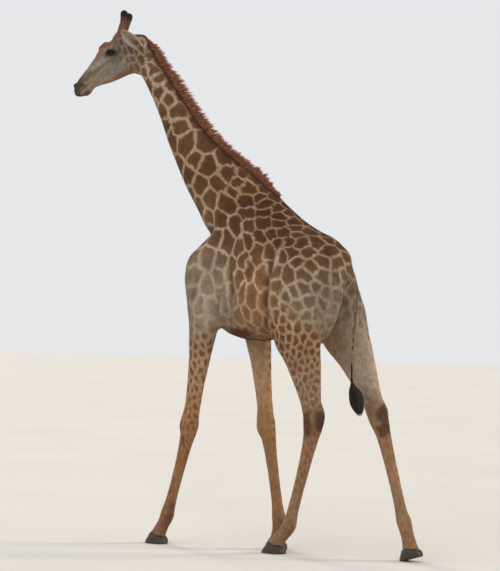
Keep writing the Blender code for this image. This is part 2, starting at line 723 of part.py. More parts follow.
def main():
    clear_scene()
    body = flesh()

    sockets = bmesh.new()
    for side in (-1, 1):
        add_eye(sockets, side, SKIN_GAP)
        add_horn(sockets, side, SKIN_GAP)
        add_ear(sockets, side, SKIN_GAP)
    add_mane(sockets, SKIN_GAP)
    add_tail(sockets, SKIN_GAP)
    for leg in LEGS.values():
        add_under_hoof(sockets, leg)
    body = cut(body, sockets)

    slabs = bmesh.new()
    anchors = {
        "head": head_point(0.25, 0.0, 0.03),
        "neck": Vector((-0.40, 0.0, 3.30)),
        "trunk": Vector((0.55, 0.0, 2.20)),
    }
    add_slab(slabs, (-0.795, 0.0, 3.900), (-0.575, 0.0, 0.82), 0.22)
    add_slab(slabs, (0.07, 0.0, 2.70), (-0.845, 0.0, 0.535), 0.50)
    add_slab(slabs, (0.60, 0.0, LEG_TOP), (0.0, 0.0, 1.0), 1.0)
    for name, leg in LEGS.items():
        joints = leg_joints(leg)
        knee, fetlock, coronet = joints[-3:]
        above = joints[-4]
        top = above.lerp(knee, (above.z - LEG_TOP) / (above.z - knee.z))
        add_slab(slabs, knee.lerp(fetlock, 0.07), (knee - fetlock), 0.13)
        add_slab(slabs, fetlock.lerp(coronet, 0.12), (fetlock - coronet), 0.10)
        anchors[f"{name}_upper_leg"] = top.lerp(knee, 0.5)
        anchors[f"{name}_lower_leg"] = knee.lerp(fetlock, 0.5)
        anchors[f"{name}_foot"] = fetlock.lerp(coronet, 0.5)
    body = cut(body, slabs)
    parted(body, anchors)

    for side, word in ((1, "left"), (-1, "right")):
        single(f"eye_{word}", "eye", add_eye, side)
        single(f"horn_{word}", "horn", add_horn, side)
        single(f"ear_{word}", "coat", add_ear, side)
    single("mane", "mane_hair", add_mane)
    single("tail", "coat", add_tail)
    single("tail_tuft", "tuft_hair", add_tuft)
    for name, leg in LEGS.items():
        for side, word in ((1, "left"), (-1, "right")):
            single(f"{name}_claw_{word}", "hoof", add_claw, leg, side)
    for obj in bpy.data.objects:
        obj.data.transform(Matrix.Translation((-ORIGIN_X, 0.0, 0.0)))


main()
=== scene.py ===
"""The looks of a life-size walking giraffe: marked skin, coat, mane, tail, ears, eyes, horns and hooves.

Metres, +Z up. The animal faces -X, and its left side is towards -Y. Every piece grows from the CAD nodes.
"""

import json
import math

import bmesh
import bpy
import numpy as np
from mathutils import Matrix, Vector, kdtree, noise
from mathutils.bvhtree import BVHTree


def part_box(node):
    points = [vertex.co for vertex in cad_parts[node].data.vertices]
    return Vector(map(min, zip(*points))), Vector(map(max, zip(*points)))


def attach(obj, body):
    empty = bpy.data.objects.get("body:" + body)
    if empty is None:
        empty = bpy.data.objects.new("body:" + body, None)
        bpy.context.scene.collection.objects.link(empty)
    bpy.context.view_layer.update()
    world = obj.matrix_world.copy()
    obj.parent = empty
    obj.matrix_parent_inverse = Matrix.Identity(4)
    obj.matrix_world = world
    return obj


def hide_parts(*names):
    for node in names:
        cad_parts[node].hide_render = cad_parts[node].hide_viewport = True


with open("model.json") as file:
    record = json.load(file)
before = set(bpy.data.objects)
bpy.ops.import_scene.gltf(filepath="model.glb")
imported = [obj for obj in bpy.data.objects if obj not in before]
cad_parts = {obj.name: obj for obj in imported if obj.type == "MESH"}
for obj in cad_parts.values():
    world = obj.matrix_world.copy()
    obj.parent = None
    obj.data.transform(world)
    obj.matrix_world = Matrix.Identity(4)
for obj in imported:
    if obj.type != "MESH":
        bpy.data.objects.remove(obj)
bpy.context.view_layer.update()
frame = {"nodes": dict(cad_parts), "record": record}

LEGS = ("fore_left", "fore_right", "hind_left", "hind_right")
SIDES = ("left", "right")
SLOTS = {row["node"]: row["material_slot"] for row in frame["record"]["subparts"]}
SEED = 7
random = np.random.default_rng(SEED)
noise.seed_set(SEED)


def middle(name):
    """The middle of a node's box."""
    low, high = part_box(name)
    return (Vector(low) + Vector(high)) / 2


# The head's own frame: forward along the muzzle, left, and up through the brow, from the back of the skull
HEAD_TURN = math.radians(22)
HEAD_TILT = math.radians(36)
LEVEL = math.cos(HEAD_TILT)
FORWARD = Vector((-math.cos(HEAD_TURN) * LEVEL, -math.sin(HEAD_TURN) * LEVEL, -math.sin(HEAD_TILT)))
LEFTWARD = Vector((math.sin(HEAD_TURN), -math.cos(HEAD_TURN), 0.0))
BROW_UP = FORWARD.cross(LEFTWARD)
HEAD_AXES = np.array((FORWARD, LEFTWARD, BROW_UP))
EYE_BACK = 0.226
EYE_DROP = 0.073
EYES = {side: np.array(middle(f"eye_{side}")) for side in SIDES}
BETWEEN_EYES = (middle("eye_left") + middle("eye_right")) / 2
HEAD_ORIGIN = np.array(BETWEEN_EYES - FORWARD * EYE_BACK - BROW_UP * EYE_DROP)
EYE_SIDE = (middle("eye_left") - middle("eye_right")).length / 2
EYE_RADIUS = (Vector(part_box("eye_left")[1]) - Vector(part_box("eye_left")[0])).z / 2


# ---------------------------------------------------------------- meshes and numbers


def read(items, name, width=1, kind=float):
    """One property of every item of a mesh, in rows where it has several numbers."""
    values = np.empty(len(items) * width, dtype=kind)
    items.foreach_get(name, values)
    return values.reshape(-1, width) if width > 1 else values


def node_arrays(name):
    """A CAD node's points and triangles."""
    mesh = frame["nodes"][name].data
    mesh.calc_loop_triangles()
    return read(mesh.vertices, "co", 3), read(mesh.loop_triangles, "vertices", 3, int)


def joined(parts):
    """Several (points, faces) as one."""
    starts = np.cumsum([0] + [len(points) for points, _ in parts[:-1]])
    faces = [faces + start for start, (_, faces) in zip(starts, parts)]
    return np.concatenate([points for points, _ in parts]), np.concatenate(faces)


def bvh_of(points, faces):
    """A tree that finds the nearest place on triangles."""
    return BVHTree.FromPolygons(points.tolist(), faces.tolist())


def kd_of(points):
    """A tree that finds the nearest points."""
    tree = kdtree.KDTree(len(points))
    for i, point in enumerate(points):
        tree.insert(point, i)
    tree.balance()
    return tree


def object_from(name, points, faces):
    """A smooth-shaded object from arrays; faces is one array, or a list of arrays of different widths."""
    groups = faces if isinstance(faces, list) else [faces]
    mesh = bpy.data.meshes.new(name)
    mesh.vertices.add(len(points))
    mesh.vertices.foreach_set("co", np.asarray(points, dtype=np.float32).ravel())
    corners = np.concatenate([group.ravel() for group in groups])
    sizes = np.concatenate([np.full(len(group), group.shape[1]) for group in groups])
    mesh.loops.add(len(corners))
    mesh.loops.foreach_set("vertex_index", corners.astype(np.int32))
    mesh.polygons.add(len(sizes))
    mesh.polygons.foreach_set("loop_start", (np.cumsum(sizes) - sizes).astype(np.int32))
    mesh.update(calc_edges=True)
    mesh.validate()
    mesh.shade_smooth()
    made = bpy.data.objects.new(name, mesh)
    bpy.context.scene.collection.objects.link(made)
    return made


def remeshed(name, points, faces, voxel):
    """One closed mesh of even squares over the triangles."""
    made = object_from(name, points, faces)
    remesh = made.modifiers.new("remesh", "REMESH")
    remesh.mode = "VOXEL"
    remesh.voxel_size = voxel
    old = made.data
    made.data = bpy.data.meshes.new_from_object(made.evaluated_get(bpy.context.evaluated_depsgraph_get()))
    made.modifiers.clear()
    bpy.data.meshes.remove(old)
    return made


def points_of(obj):
    """The object's vertices."""
    return read(obj.data.vertices, "co", 3)


def edges_of(obj):
    """The two ends of each edge."""
    return read(obj.data.edges, "vertices", 2, int)


def normals_of(obj):
    """The normal at each vertex."""
    return read(obj.data.vertex_normals, "vector", 3)


def set_points(obj, points):
    """Moves the object's vertices."""
    obj.data.vertices.foreach_set("co", np.asarray(points, dtype=np.float32).ravel())
    obj.data.update()


def group_sums(values, group, size=0):
    """The sum of each group's rows."""
    return np.stack([np.bincount(group, column, size) for column in values.T], axis=1)


def group_means(values, group, size=0):
    """The mean of each group's rows."""
    return group_sums(values, group, size) / np.maximum(np.bincount(group, minlength=size), 1)[:, None]


def neighbour_sums(values, start, end):
    """For each row, the sum of the rows that the pairs join it to."""
    return group_sums(values[end], start, len(values)) + group_sums(values[start], end, len(values))


def relaxed(points, edges, rounds, factor, rebound=0.0):
    """Moves each point towards the mean of its neighbours; with a rebound, it keeps its volume."""
    share = 1.0 / np.maximum(np.bincount(edges.ravel(), minlength=len(points)), 1)[:, None]
    for step in range(rounds):
        pull = -rebound if rebound and step % 2 else factor
        points = points + (neighbour_sums(points, *edges.T) * share - points) * pull
    return points


def smooth_step(low, high, value):
    """0 below low, 1 above high, and a smooth rise between them."""
    share = np.clip((value - low) / (high - low), 0.0, 1.0)
    return share * share * (3 - 2 * share)


def between(value, start, full, fade, end):
    """A smooth rise from start to full, and a fall from fade to end."""
    return smooth_step(start, full, value) * (1 - smooth_step(fade, end, value))


def bell(value):
    """1 at 0, falling off to both sides."""
    return np.exp(-(value**2))


def rows_length(vectors):
    """The length of each row."""
    return np.sqrt((vectors * vectors).sum(axis=-1))


def unit_rows(vectors):
    """Each row at length 1."""
    return vectors / np.maximum(rows_length(vectors), 1e-9)[..., None]


def across(vectors, normals):
    """The vectors laid flat on the surface that has these normals, at length 1."""
    return unit_rows(vectors - normals * (vectors * normals).sum(axis=1)[:, None])


def away_from(places, centre, reach):
    """How far out each place is from a centre, where 1 is the reach along each axis."""
    return rows_length((places - np.array(centre)) / np.array(reach))


def mirrored(points):
    """The points with those of the left side laid over the right, for what both sides share."""
    return points * (1, 0, 1) + np.abs(points) * (0, 1, 0)


def blended(first, second, share):
    """The first where the share is 0 and the second where it is 1."""
    share = share[:, None] if first.ndim > share.ndim else share
    return first * (1 - share) + np.array(second) * share


def noise_of(points, scale):
    """Smooth noise at each point, in three numbers from -1 to 1."""
    return np.array([tuple(noise.noise_vector(Vector(point) * scale)) for point in points])


def add_fields(obj, fields):
    """Numbers or colours for each vertex, for the shader to read."""
    for name, values in fields.items():
        if values.ndim == 1:
            layer = obj.data.attributes.new(name, "FLOAT", "POINT")
            layer.data.foreach_set("value", values.astype(np.float32))
        else:
            layer = obj.data.color_attributes.new(name, "FLOAT_COLOR", "POINT")
            full = np.ones((len(values), 4), dtype=np.float32)
            full[:, :3] = values
            layer.data.foreach_set("color", full.ravel())


# ---------------------------------------------------------------- skin

VOXEL = 0.014
COAT_DEPTH = 0.004
HEAD_COAT_DEPTH = 0.002
BODY_SMOOTHING = 12
TRUNK_SMOOTHING = 34
REBOUND = 0.51
HORN_STUB = 0.104
EAR_STUB = 0.028
MANE_PROUD = 0.003
HEAD_REAR = -0.75
HEAD_FLOOR = 3.5
HEAD_SEAM = 0.035
TAIL_TOP = (2.02, 2.12)
TAIL_SIDE = 0.06
TAIL_NEAR = 0.012
FOOT_TOP = 0.3
LEG_HEIGHTS = np.arange(0.26, 1.54, 0.04)

# Muscles, bones and folds of the body on either side: centre, reach and height
RELIEF = 1.35
BODY_SWELLS = (
    ((-0.228, 0.305, 2.2), (0.09, 0.09, 0.1), 0.01),
    ((0.528, 0.217, 2.438), (0.08, 0.09, 0.07), 0.012),
    ((0.95, 0.1, 2.3), (0.09, 0.08, 0.09), 0.008),
    ((0.43, 0.25, 2.33), (0.11, 0.12, 0.12), -0.014),
    ((0.19, 0.3, 2.02), (0.09, 0.12, 0.12), -0.008),
    ((0.62, 0.3, 2.08), (0.12, 0.12, 0.18), 0.007),
    ((0.9, 0.23, 2.12), (0.1, 0.12, 0.18), 0.006),
    ((0.03, 0.3, 2.06), (0.09, 0.12, 0.15), 0.01),
    ((-0.1, 0.19, 2.62), (0.07, 0.1, 0.2), 0.006),
)
FLANK_FOLD = (
    (0.556, 0.228, 2.42),
    (0.54, 0.301, 2.193),
    (0.524, 0.319, 1.999),
    (0.49, 0.275, 1.806),
    (0.42, 0.18, 1.69),
)
FLANK_HOLLOW = tuple((x - 0.042, y, z) for x, y, z in FLANK_FOLD)
ELBOW_FOLD = ((0.068, 0.28, 1.98), (0.063, 0.277, 1.9), (0.02, 0.25, 1.78), (-0.049, 0.145, 1.7))
ELBOW_REAR = ((0.15, 0.309, 1.99), (0.12, 0.27, 1.86), (0.088, 0.227, 1.73))
ELBOW_FRONT = ((0.006, 0.277, 1.99), (-0.02, 0.25, 1.86), (-0.049, 0.214, 1.73))
CHEST_FOLD = ((-0.19, 0.301, 2.13), (-0.23, 0.297, 2.02), (-0.27, 0.29, 1.9))
BODY_CREASES = (
    (((0.128, 0.143, 2.776), (0.026, 0.213, 2.543), (-0.092, 0.225, 2.434)), 0.04, 0.007),
    (((-0.149, 0.195, 2.734), (-0.159, 0.177, 2.566), (-0.139, 0.215, 2.435)), 0.034, -0.008),
    (((0.078, 0.267, 2.301), (0.119, 0.295, 2.221), (0.131, 0.309, 2.133)), 0.042, -0.014),
    (((0.158, 0.313, 2.157), (0.17, 0.32, 2.04), (0.1, 0.29, 1.9)), 0.026, -0.009),
    (ELBOW_FOLD, 0.019, -0.016),
    (ELBOW_REAR, 0.018, -0.01),
    (ELBOW_FRONT, 0.018, -0.01),
    (((0.036, 0.28, 1.97), (0.01, 0.26, 1.86), (-0.01, 0.24, 1.75)), 0.014, 0.008),
    (((0.11, 0.295, 1.97), (0.08, 0.27, 1.86), (0.055, 0.23, 1.74)), 0.016, 0.008),
    (CHEST_FOLD, 0.024, -0.015),
    (FLANK_FOLD, 0.038, 0.014),
    (FLANK_HOLLOW, 0.026, -0.018),
    (((1.008, 0.164, 2.155), (1.02, 0.161, 2.094), (1.024, 0.152, 2.018)), 0.02, -0.008),
    (((0.969, 0.19, 1.903), (0.998, 0.182, 2.017)), 0.022, -0.007),
    (((0.7, 0.3, 2.22), (0.67, 0.31, 1.98), (0.63, 0.29, 1.8)), 0.04, -0.006),
    (((0.84, 0.27, 2.25), (0.86, 0.27, 2.05), (0.84, 0.26, 1.85)), 0.034, -0.006),
    (((-0.86, 0.07, 3.72), (-0.72, 0.085, 3.42), (-0.5, 0.115, 3.05), (-0.3, 0.15, 2.72)), 0.03, -0.006),
)
CORONET_REACH = 0.036
CORONET_FLARE = 0.007
RIB_SPACING = 0.062
RIB_HEIGHT = 0.0016
RIBS_ALONG = (0.10, 0.18, 0.36, 0.46)
RIBS_UP = (1.78, 1.95, 2.25, 2.42)
# Each groove on both sides of a leg: depth, heights, and its place and reach from front to back
LEG_GROOVES = ((0.005, (0.24, 0.34, 0.74, 0.86), 0.30, 0.22), (0.0045, (0.95, 1.10, 1.35, 1.55), -0.10, 0.20))
LEG_FLANK = (0.5, 0.9)
TRUNK_FLOOR = (1.55, 1.75)
DEEP_COAT = (1.0, 1.6)

# The face on either side, in the head's frame
HEAD_SWELLS = (
    ((0.186, 0, 0.182), (0.046, 0.055, 0.046), 0.024),
    ((0.27, 0, 0.223), (0.045, 0.05, 0.03), -0.007),
    ((0.345, 0, 0.176), (0.03, 0.035, 0.03), 0.007),
    ((0.232, 0.088, 0.126), (0.09, 0.06, 0.055), 0.005),
    ((0.17, 0.08, -0.05), (0.11, 0.07, 0.08), 0.006),
    ((0.37, 0.055, -0.02), (0.09, 0.05, 0.045), -0.006),
    ((0.16, 0.08, 0.112), (0.045, 0.045, 0.036), -0.008),
    ((0.655, 0.03, 0.02), (0.05, 0.04, 0.03), 0.004),
    ((0.615, 0.02, -0.046), (0.036, 0.036, 0.026), 0.004),
    ((0.648, 0.036, 0.078), (0.036, 0.028, 0.034), 0.006),
    ((0.56, 0.045, 0.02), (0.05, 0.03, 0.04), 0.004),
    ((0.01, 0.085, -0.03), (0.05, 0.05, 0.05), 0.005),
)
HEAD_CREASES = (
    (((0.285, 0.085, 0.03), (0.2, 0.092, 0.022), (0.11, 0.092, 0.01)), 0.016, 0.005),
    (((0.285, 0.075, 0.028), (0.36, 0.065, 0.022), (0.44, 0.052, 0.022)), 0.014, 0.004),
    (((0.12, 0.06, -0.118), (0.26, 0.05, -0.122), (0.42, 0.032, -0.068)), 0.014, 0.004),
    (((0.02, 0.085, -0.06), (0.03, 0.08, -0.12), (0.08, 0.06, -0.16)), 0.016, -0.006),
    (((0.3, 0.07, 0.11), (0.4, 0.05, 0.11), (0.52, 0.034, 0.1)), 0.012, 0.003),
    (((0.33, 0.075, 0), (0.4, 0.06, -0.014), (0.47, 0.05, -0.02)), 0.006, 0.002),
    (((0.52, 0.048, -0.01), (0.5, 0.046, 0.03)), 0.008, -0.002),
)
MUZZLE = 0.5
MOUTH = ((0.684, 0, -0.034), (0.668, 0, -0.014), (0.64, 0, -0.006), (0.6, 0, -0.003), (0.545, 0, 0.004))
MOUTH_END = 0.53
MOUTH_WIDTH = 0.012
LIPS_AND_SLIT = ((MOUTH, 0.014, 0.0024), (MOUTH, 0.004, -0.005))
NOSTRIL = ((0.619, 0.036, 0.094), (0.638, 0.045, 0.08), (0.655, 0.046, 0.06))
NOSTRIL_REACH = (0.042, 0.034, 0.04)
NOSTRIL_RIM = (0.014, 0.006)
NOSTRIL_SLIT = (0.0048, -0.019)
EYE_SPOT = np.array((EYE_BACK, EYE_SIDE, EYE_DROP))
EYE_REACH = np.array((0.06, 0.06, 0.055))
LIDS = 0.7
EYE_LOOK = np.array((0.16, 0.98, 0.1))
EYE_TILT = math.radians(22)
LID_REACH = 1.22
UPPER_LID = 0.6
LOWER_LID = 0.5
LID_LIFT = 0.0022
LID_RIM = 0.0012
LID_FOLD = 0.0016
RIM_PLACE = 0.003
FOLD_PLACE = 0.010
LID_SOFT = 0.003
LID_BLEND = (0.004, 0.024)
LID_REST = 0.085
EYE_SINK = 0.007


def long_axis(points):
    """The direction in which the points are spread furthest, away from the head's middle."""
    axis = np.linalg.svd(points - points.mean(axis=0), full_matrices=False)[2][0]
    heights = points @ axis
    near, far = rows_length(points[[heights.argmin(), heights.argmax()]] - HEAD_ORIGIN)
    return axis if near < far else -axis


def plugs():
    """Stubs of the eyes, horns and ears, so that the skin runs on under them."""
    made = []
    for side in SIDES:
        made.append(node_arrays(f"eye_{side}"))
        for name, reach in ((f"horn_{side}", HORN_STUB), (f"ear_{side}", EAR_STUB)):
            points, faces = node_arrays(name)
            axis = long_axis(points)
            height = (points - points[(points @ axis).argmin()]) @ axis
            made.append((points - np.outer(np.maximum(height - reach, 0.0), axis), faces))
    return made


def groove_cap(flesh_tree):
    """The mane's root: what stands out of the flesh is pressed back onto it."""
    points, faces = node_arrays("mane")
    for i, point in enumerate(points):
        place, _, _, distance = flesh_tree.find_nearest(Vector(point))
        if distance > MANE_PROUD:
            points[i] = place
    return points, faces


def distances(tree, points):
    """How far each point is from the tree's triangles."""
    return np.array([tree.find_nearest(Vector(point))[3] for point in points])


def in_head(points):
    """How far each point belongs to the head: 1 on it, 0 on the neck."""
    share = np.zeros(len(points))
    near = np.nonzero((points[:, 2] > HEAD_FLOOR) & (points[:, 0] < HEAD_REAR))[0]
    ahead = distances(NECK_TREE, points[near]) - distances(HEAD_TREE, points[near])
    share[near] = smooth_step(-HEAD_SEAM, HEAD_SEAM, ahead)
    return share


def head_places(points):
    """Points in the head's frame: forward, to either side, up."""
    places = (points - HEAD_ORIGIN) @ HEAD_AXES.T
    places[:, 1] = np.abs(places[:, 1])
    return places


def near_lids(places):
    """Which places in the head's frame are on the eyelids."""
    return away_from(places, EYE_SPOT, EYE_REACH) < LIDS


def fine_place(points, level):
    """Where the head is divided at each level: all of it, eyes and muzzle, then lids, nostrils and lips."""
    head = in_head(points) > 0.5
    if level == 1:
        return head
    places = head_places(points)
    if level == 2:
        return head & ((away_from(places, EYE_SPOT, EYE_REACH) < 1) | (places[:, 0] > MUZZLE))
    near_nostril = away_from(places, NOSTRIL[1], NOSTRIL_REACH) < 1
    near_mouth = (line_distance(places * (1, 0, 1), MOUTH)[0] < MOUTH_WIDTH) & (places[:, 0] > MOUTH_END)
    return head & (near_lids(places) | near_nostril | near_mouth)


def divided(obj, chosen):
    """Splits each face whose corners are all chosen into four."""
    bm = bmesh.new()
    bm.from_mesh(obj.data)
    inside = [all(chosen[vert.index] for vert in face.verts) for face in bm.faces]
    edges = [edge for edge in bm.edges if any(inside[face.index] for face in edge.link_faces)]
    bmesh.ops.subdivide_edges(bm, edges=edges, cuts=1, use_grid_fill=True)
    bm.to_mesh(obj.data)
    bm.free()
    obj.data.update()


def tail_share(points):
    """1 on the hanging tail, 0 on the rump."""
    low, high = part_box("tail")
    x, y, height = points.T
    near = np.nonzero((x > low[0]) & (np.abs(y) < TAIL_SIDE) & (height < high[2]))[0]
    share = np.zeros(len(points))
    share[near] = distances(TAIL_TREE, points[near]) < TAIL_NEAR
    return share * (1 - smooth_step(*TAIL_TOP, height))


def snapped(points, share, tree, factor):
    """Draws the chosen points onto the solids that the skin was cast from."""
    for i in np.nonzero(share > 0.02)[0]:
        place = np.array(tree.find_nearest(Vector(points[i]))[0])
        points[i] += (place - points[i]) * factor * share[i]
    return points


def swell(points, normals, places, spots):
    """Raises or sinks the skin round each spot: its centre, reach and height."""
    for centre, reach, height in spots:
        away = away_from(places, centre, reach)
        points = points + normals * (height * np.clip(1 - away**2, 0, 1) ** 2)[:, None]
    return points


def line_distance(places, line):
    """How far each point is from a line through the given places, and its share of the way along it."""
    line = np.array(line, dtype=float)
    least = np.full(len(places), np.inf)
    way = np.zeros(len(places))
    for number, (start, end) in enumerate(zip(line[:-1], line[1:])):
        along = end - start
        share = np.clip((places - start) @ along / (along @ along), 0, 1)
        away = rows_length(places - start - share[:, None] * along)
        nearer = away < least
        least[nearer] = away[nearer]
        way[nearer] = (number + share[nearer]) / (len(line) - 1)
    return least, way


def crease(points, normals, places, lines, fade=0.35):
    """Draws a ridge or a groove along each line, fading at its ends: its places, reach and height."""
    for line, reach, height in lines:
        away, way = line_distance(places, line)
        ends = between(way, -0.02, fade, 1 - fade, 1.02)
        points = points + normals * (height * ends * bell(away / reach))[:, None]
    return points


def on_head(line):
    """A line's places in the head's frame, moved onto the head's surface."""
    spots = [Vector(HEAD_ORIGIN) + Vector(np.array(place) @ HEAD_AXES) for place in line]
    return [head_places(np.array(HEAD_TREE.find_nearest(spot)[0])[None])[0] for spot in spots]


def eye_axes(side):
    """Each eye's own axes: along the lids, towards the brow, and outward."""
    sign = 1 if side == "left" else -1
    outward = Vector(unit_rows(EYE_LOOK * (1, sign, 1)) @ HEAD_AXES)
    along = FORWARD * math.cos(EYE_TILT) + BROW_UP * math.sin(EYE_TILT)
    along = (along - outward * along.dot(outward)).normalized()
    browward = outward.cross(along) * (-sign)
    browward = browward if browward.dot(BROW_UP) > 0 else -browward
    return np.array((along, browward, outward))


def lid_arch(turn):
    """How far the lids are open at each turn round the eyeball: 1 in the middle, 0 in the corners."""
    return np.clip(1 - (turn / LID_REACH) ** 2, 0, 1) ** 0.7


def lid_distance(points, side):
    """How far points lie outside the almond between the lids, along the eyeball, and on which side of it."""
    turned = (points - EYES[side]) @ eye_axes(side).T
    turn = np.arctan2(turned[:, 0], turned[:, 2])
    rise = np.arcsin(np.clip(turned[:, 1] / np.maximum(rows_length(turned), 1e-6), -1, 1))
    limit = np.where(rise > 0, UPPER_LID, LOWER_LID) * lid_arch(turn)
    beyond = np.maximum(np.abs(turn) - LID_REACH, 0)
    away = np.where(beyond > 0, np.hypot(beyond, rise), np.abs(rise) - limit)
    return away * EYE_RADIUS, rise


def open_lids(points):
    """Opens an almond over each eyeball, with a raised rim and a fold above and below it."""
    for side in SIDES:
        offset = points - EYES[side]
        reach = rows_length(offset)
        near = (reach < LID_REST) & (offset @ eye_axes(side)[2] > -0.01)
        away, rise = lid_distance(points, side)
        lid = EYE_RADIUS + LID_LIFT + LID_RIM * bell((away - RIM_PLACE) / LID_SOFT)
        fold = LID_FOLD * bell((away - FOLD_PLACE) / LID_SOFT) * np.where(rise > 0, 1.5, 0.7)
        blend = smooth_step(*LID_BLEND, np.maximum(away, reach - EYE_RADIUS - LID_LIFT))
        goal = lid * (1 - blend) + np.maximum(reach, EYE_RADIUS + 0.001) * blend - fold
        goal = np.where(away < 0, EYE_RADIUS - EYE_SINK, goal)
        share = near.astype(float)[:, None]
        points = points + (offset / np.maximum(reach, 1e-6)[:, None]) * (goal - reach)[:, None] * share
    return points


def rings(points, heights, reach):
    """For each height, a solid's middle in x and y, and half its depth and width: five numbers."""
    rows = []
    for height in heights:
        ring = points[np.abs(points[:, 2] - height) < reach, :2]
        low, high = ring.min(axis=0), ring.max(axis=0)
        rows.append((height, *(low + high) / 2, *(high - low) / 2))
    return np.array(rows)


def leg_places(points):
    """Each point's nearest leg, and its place across that leg: -1 in front to 1 behind, and to the side."""
    best = np.full(len(points), np.inf)
    which = np.zeros(len(points), dtype=int)
    place = np.zeros((len(points), 2))
    for number, rows in enumerate(LEG_RINGS):
        x, y, deep, wide = (np.interp(points[:, 2], rows[:, 0], rows[:, k]) for k in (1, 2, 3, 4))
        offset = np.stack(((points[:, 0] - x) / deep, (points[:, 1] - y) / wide), axis=1)
        away = rows_length(offset)
        nearer = away < best
        best[nearer] = away[nearer]
        which[nearer] = number
        place[nearer] = offset[nearer]
    return which, place


def sinews(points, normals):
    """The grooves on both sides of each leg: before the tendons low down, and between the muscles above."""
    _, place = leg_places(points)
    depth = np.zeros(len(points))
    for deep, heights, spot, reach in LEG_GROOVES:
        depth += deep * (between(points[:, 2], *heights) * bell((place[:, 0] - spot) / reach))
    return points - normals * (depth * smooth_step(*LEG_FLANK, np.abs(place[:, 1])))[:, None]


def coronet(points):
    """1 where the skin meets the hooves, 0 from a little above them."""
    away = np.ones(len(points))
    low = points[:, 2] < FOOT_TOP
    away[low] = distances(CLAW_TREE, points[low])
    return 1 - smooth_step(0.004, CORONET_REACH, away)


def sculpted(skin):
    """Muscle, bone and skin folds, then the face."""
    points, normals, edges = points_of(skin), normals_of(skin), edges_of(skin)
    head = in_head(points)
    body = (1 - head)[:, None]
    places = mirrored(points)
    shaped = swell(points, normals * body * RELIEF, places, BODY_SWELLS)
    shaped = crease(shaped, normals * body * RELIEF, places, BODY_CREASES)
    shaped = sinews(shaped, normals * body)
    shaped += normals * (1, 1, 0.3) * (CORONET_FLARE * coronet(points))[:, None]
    ribs = between(points[:, 0], *RIBS_ALONG) * between(points[:, 2], *RIBS_UP)
    wave = np.sin((points[:, 0] + 0.25 * (points[:, 2] - 2.0)) * math.tau / RIB_SPACING)
    shaped += normals * (RIB_HEIGHT * ribs * wave)[:, None]
    places = head_places(points)
    face = normals * head[:, None]
    shaped = swell(shaped, face, places, HEAD_SWELLS)
    lines = [(on_head(line), reach, height) for line, reach, height in HEAD_CREASES]
    shaped = crease(shaped, face, places, lines)
    shaped = crease(shaped, face, places * (1, 0, 1), LIPS_AND_SLIT, 0.25)
    nostril = on_head(NOSTRIL)
    shaped = crease(shaped, face, places, ((nostril, *NOSTRIL_RIM), (nostril, *NOSTRIL_SLIT)))
    shaped = open_lids(relaxed(shaped, edges, 2, 0.3))
    set_points(skin, relaxed(shaped, edges, 3, 0.35 * near_lids(head_places(shaped))[:, None]))
    return skin


def make_skin():
    """One closed skin just inside all the flesh, finer on the face. Returns it and the flesh's names."""
    flesh = [name for name, slot in SLOTS.items() if slot == "coat" and not name.startswith("ear")]
    solids = [node_arrays(name) for name in flesh]
    cast = joined(solids + plugs() + [groove_cap(bvh_of(*joined(solids)))])
    skin = remeshed("skin", *cast, VOXEL)
    points, edges = points_of(skin), edges_of(skin)
    cast_tree = bvh_of(*cast)
    trunk = (1 - in_head(points)) * smooth_step(*TRUNK_FLOOR, points[:, 2])
    tail = tail_share(points)
    points = relaxed(points, edges, BODY_SMOOTHING, 0.5, REBOUND)
    points = relaxed(points, edges, TRUNK_SMOOTHING, (0.5 * trunk * (1 - tail))[:, None])
    set_points(skin, snapped(points, tail, cast_tree, 0.9))
    for level in (1, 2, 3):
        divided(skin, fine_place(points_of(skin), level))
        points, edges = points_of(skin), edges_of(skin)
        head = in_head(points)
        points = snapped(points, head, cast_tree, 0.8)
        points = relaxed(points, edges, 8, 0.5 * (0.25 + 0.75 * head)[:, None] * (head > 0)[:, None])
        set_points(skin, points)
    body = smooth_step(*DEEP_COAT, points[:, 2]) * (1 - head)
    depth = HEAD_COAT_DEPTH + (COAT_DEPTH - HEAD_COAT_DEPTH) * body
    set_points(skin, points - normals_of(skin) * depth[:, None])
    return sculpted(skin), flesh


# ---------------------------------------------------------------- markings


def paint(red, green, blue):
    """A colour given as it looks, 0 to 255, as the shader's linear numbers."""
    share = np.array((red, green, blue)) / 255
    return np.where(share <= 0.04045, share / 12.92, ((share + 0.055) / 1.055) ** 2.4)


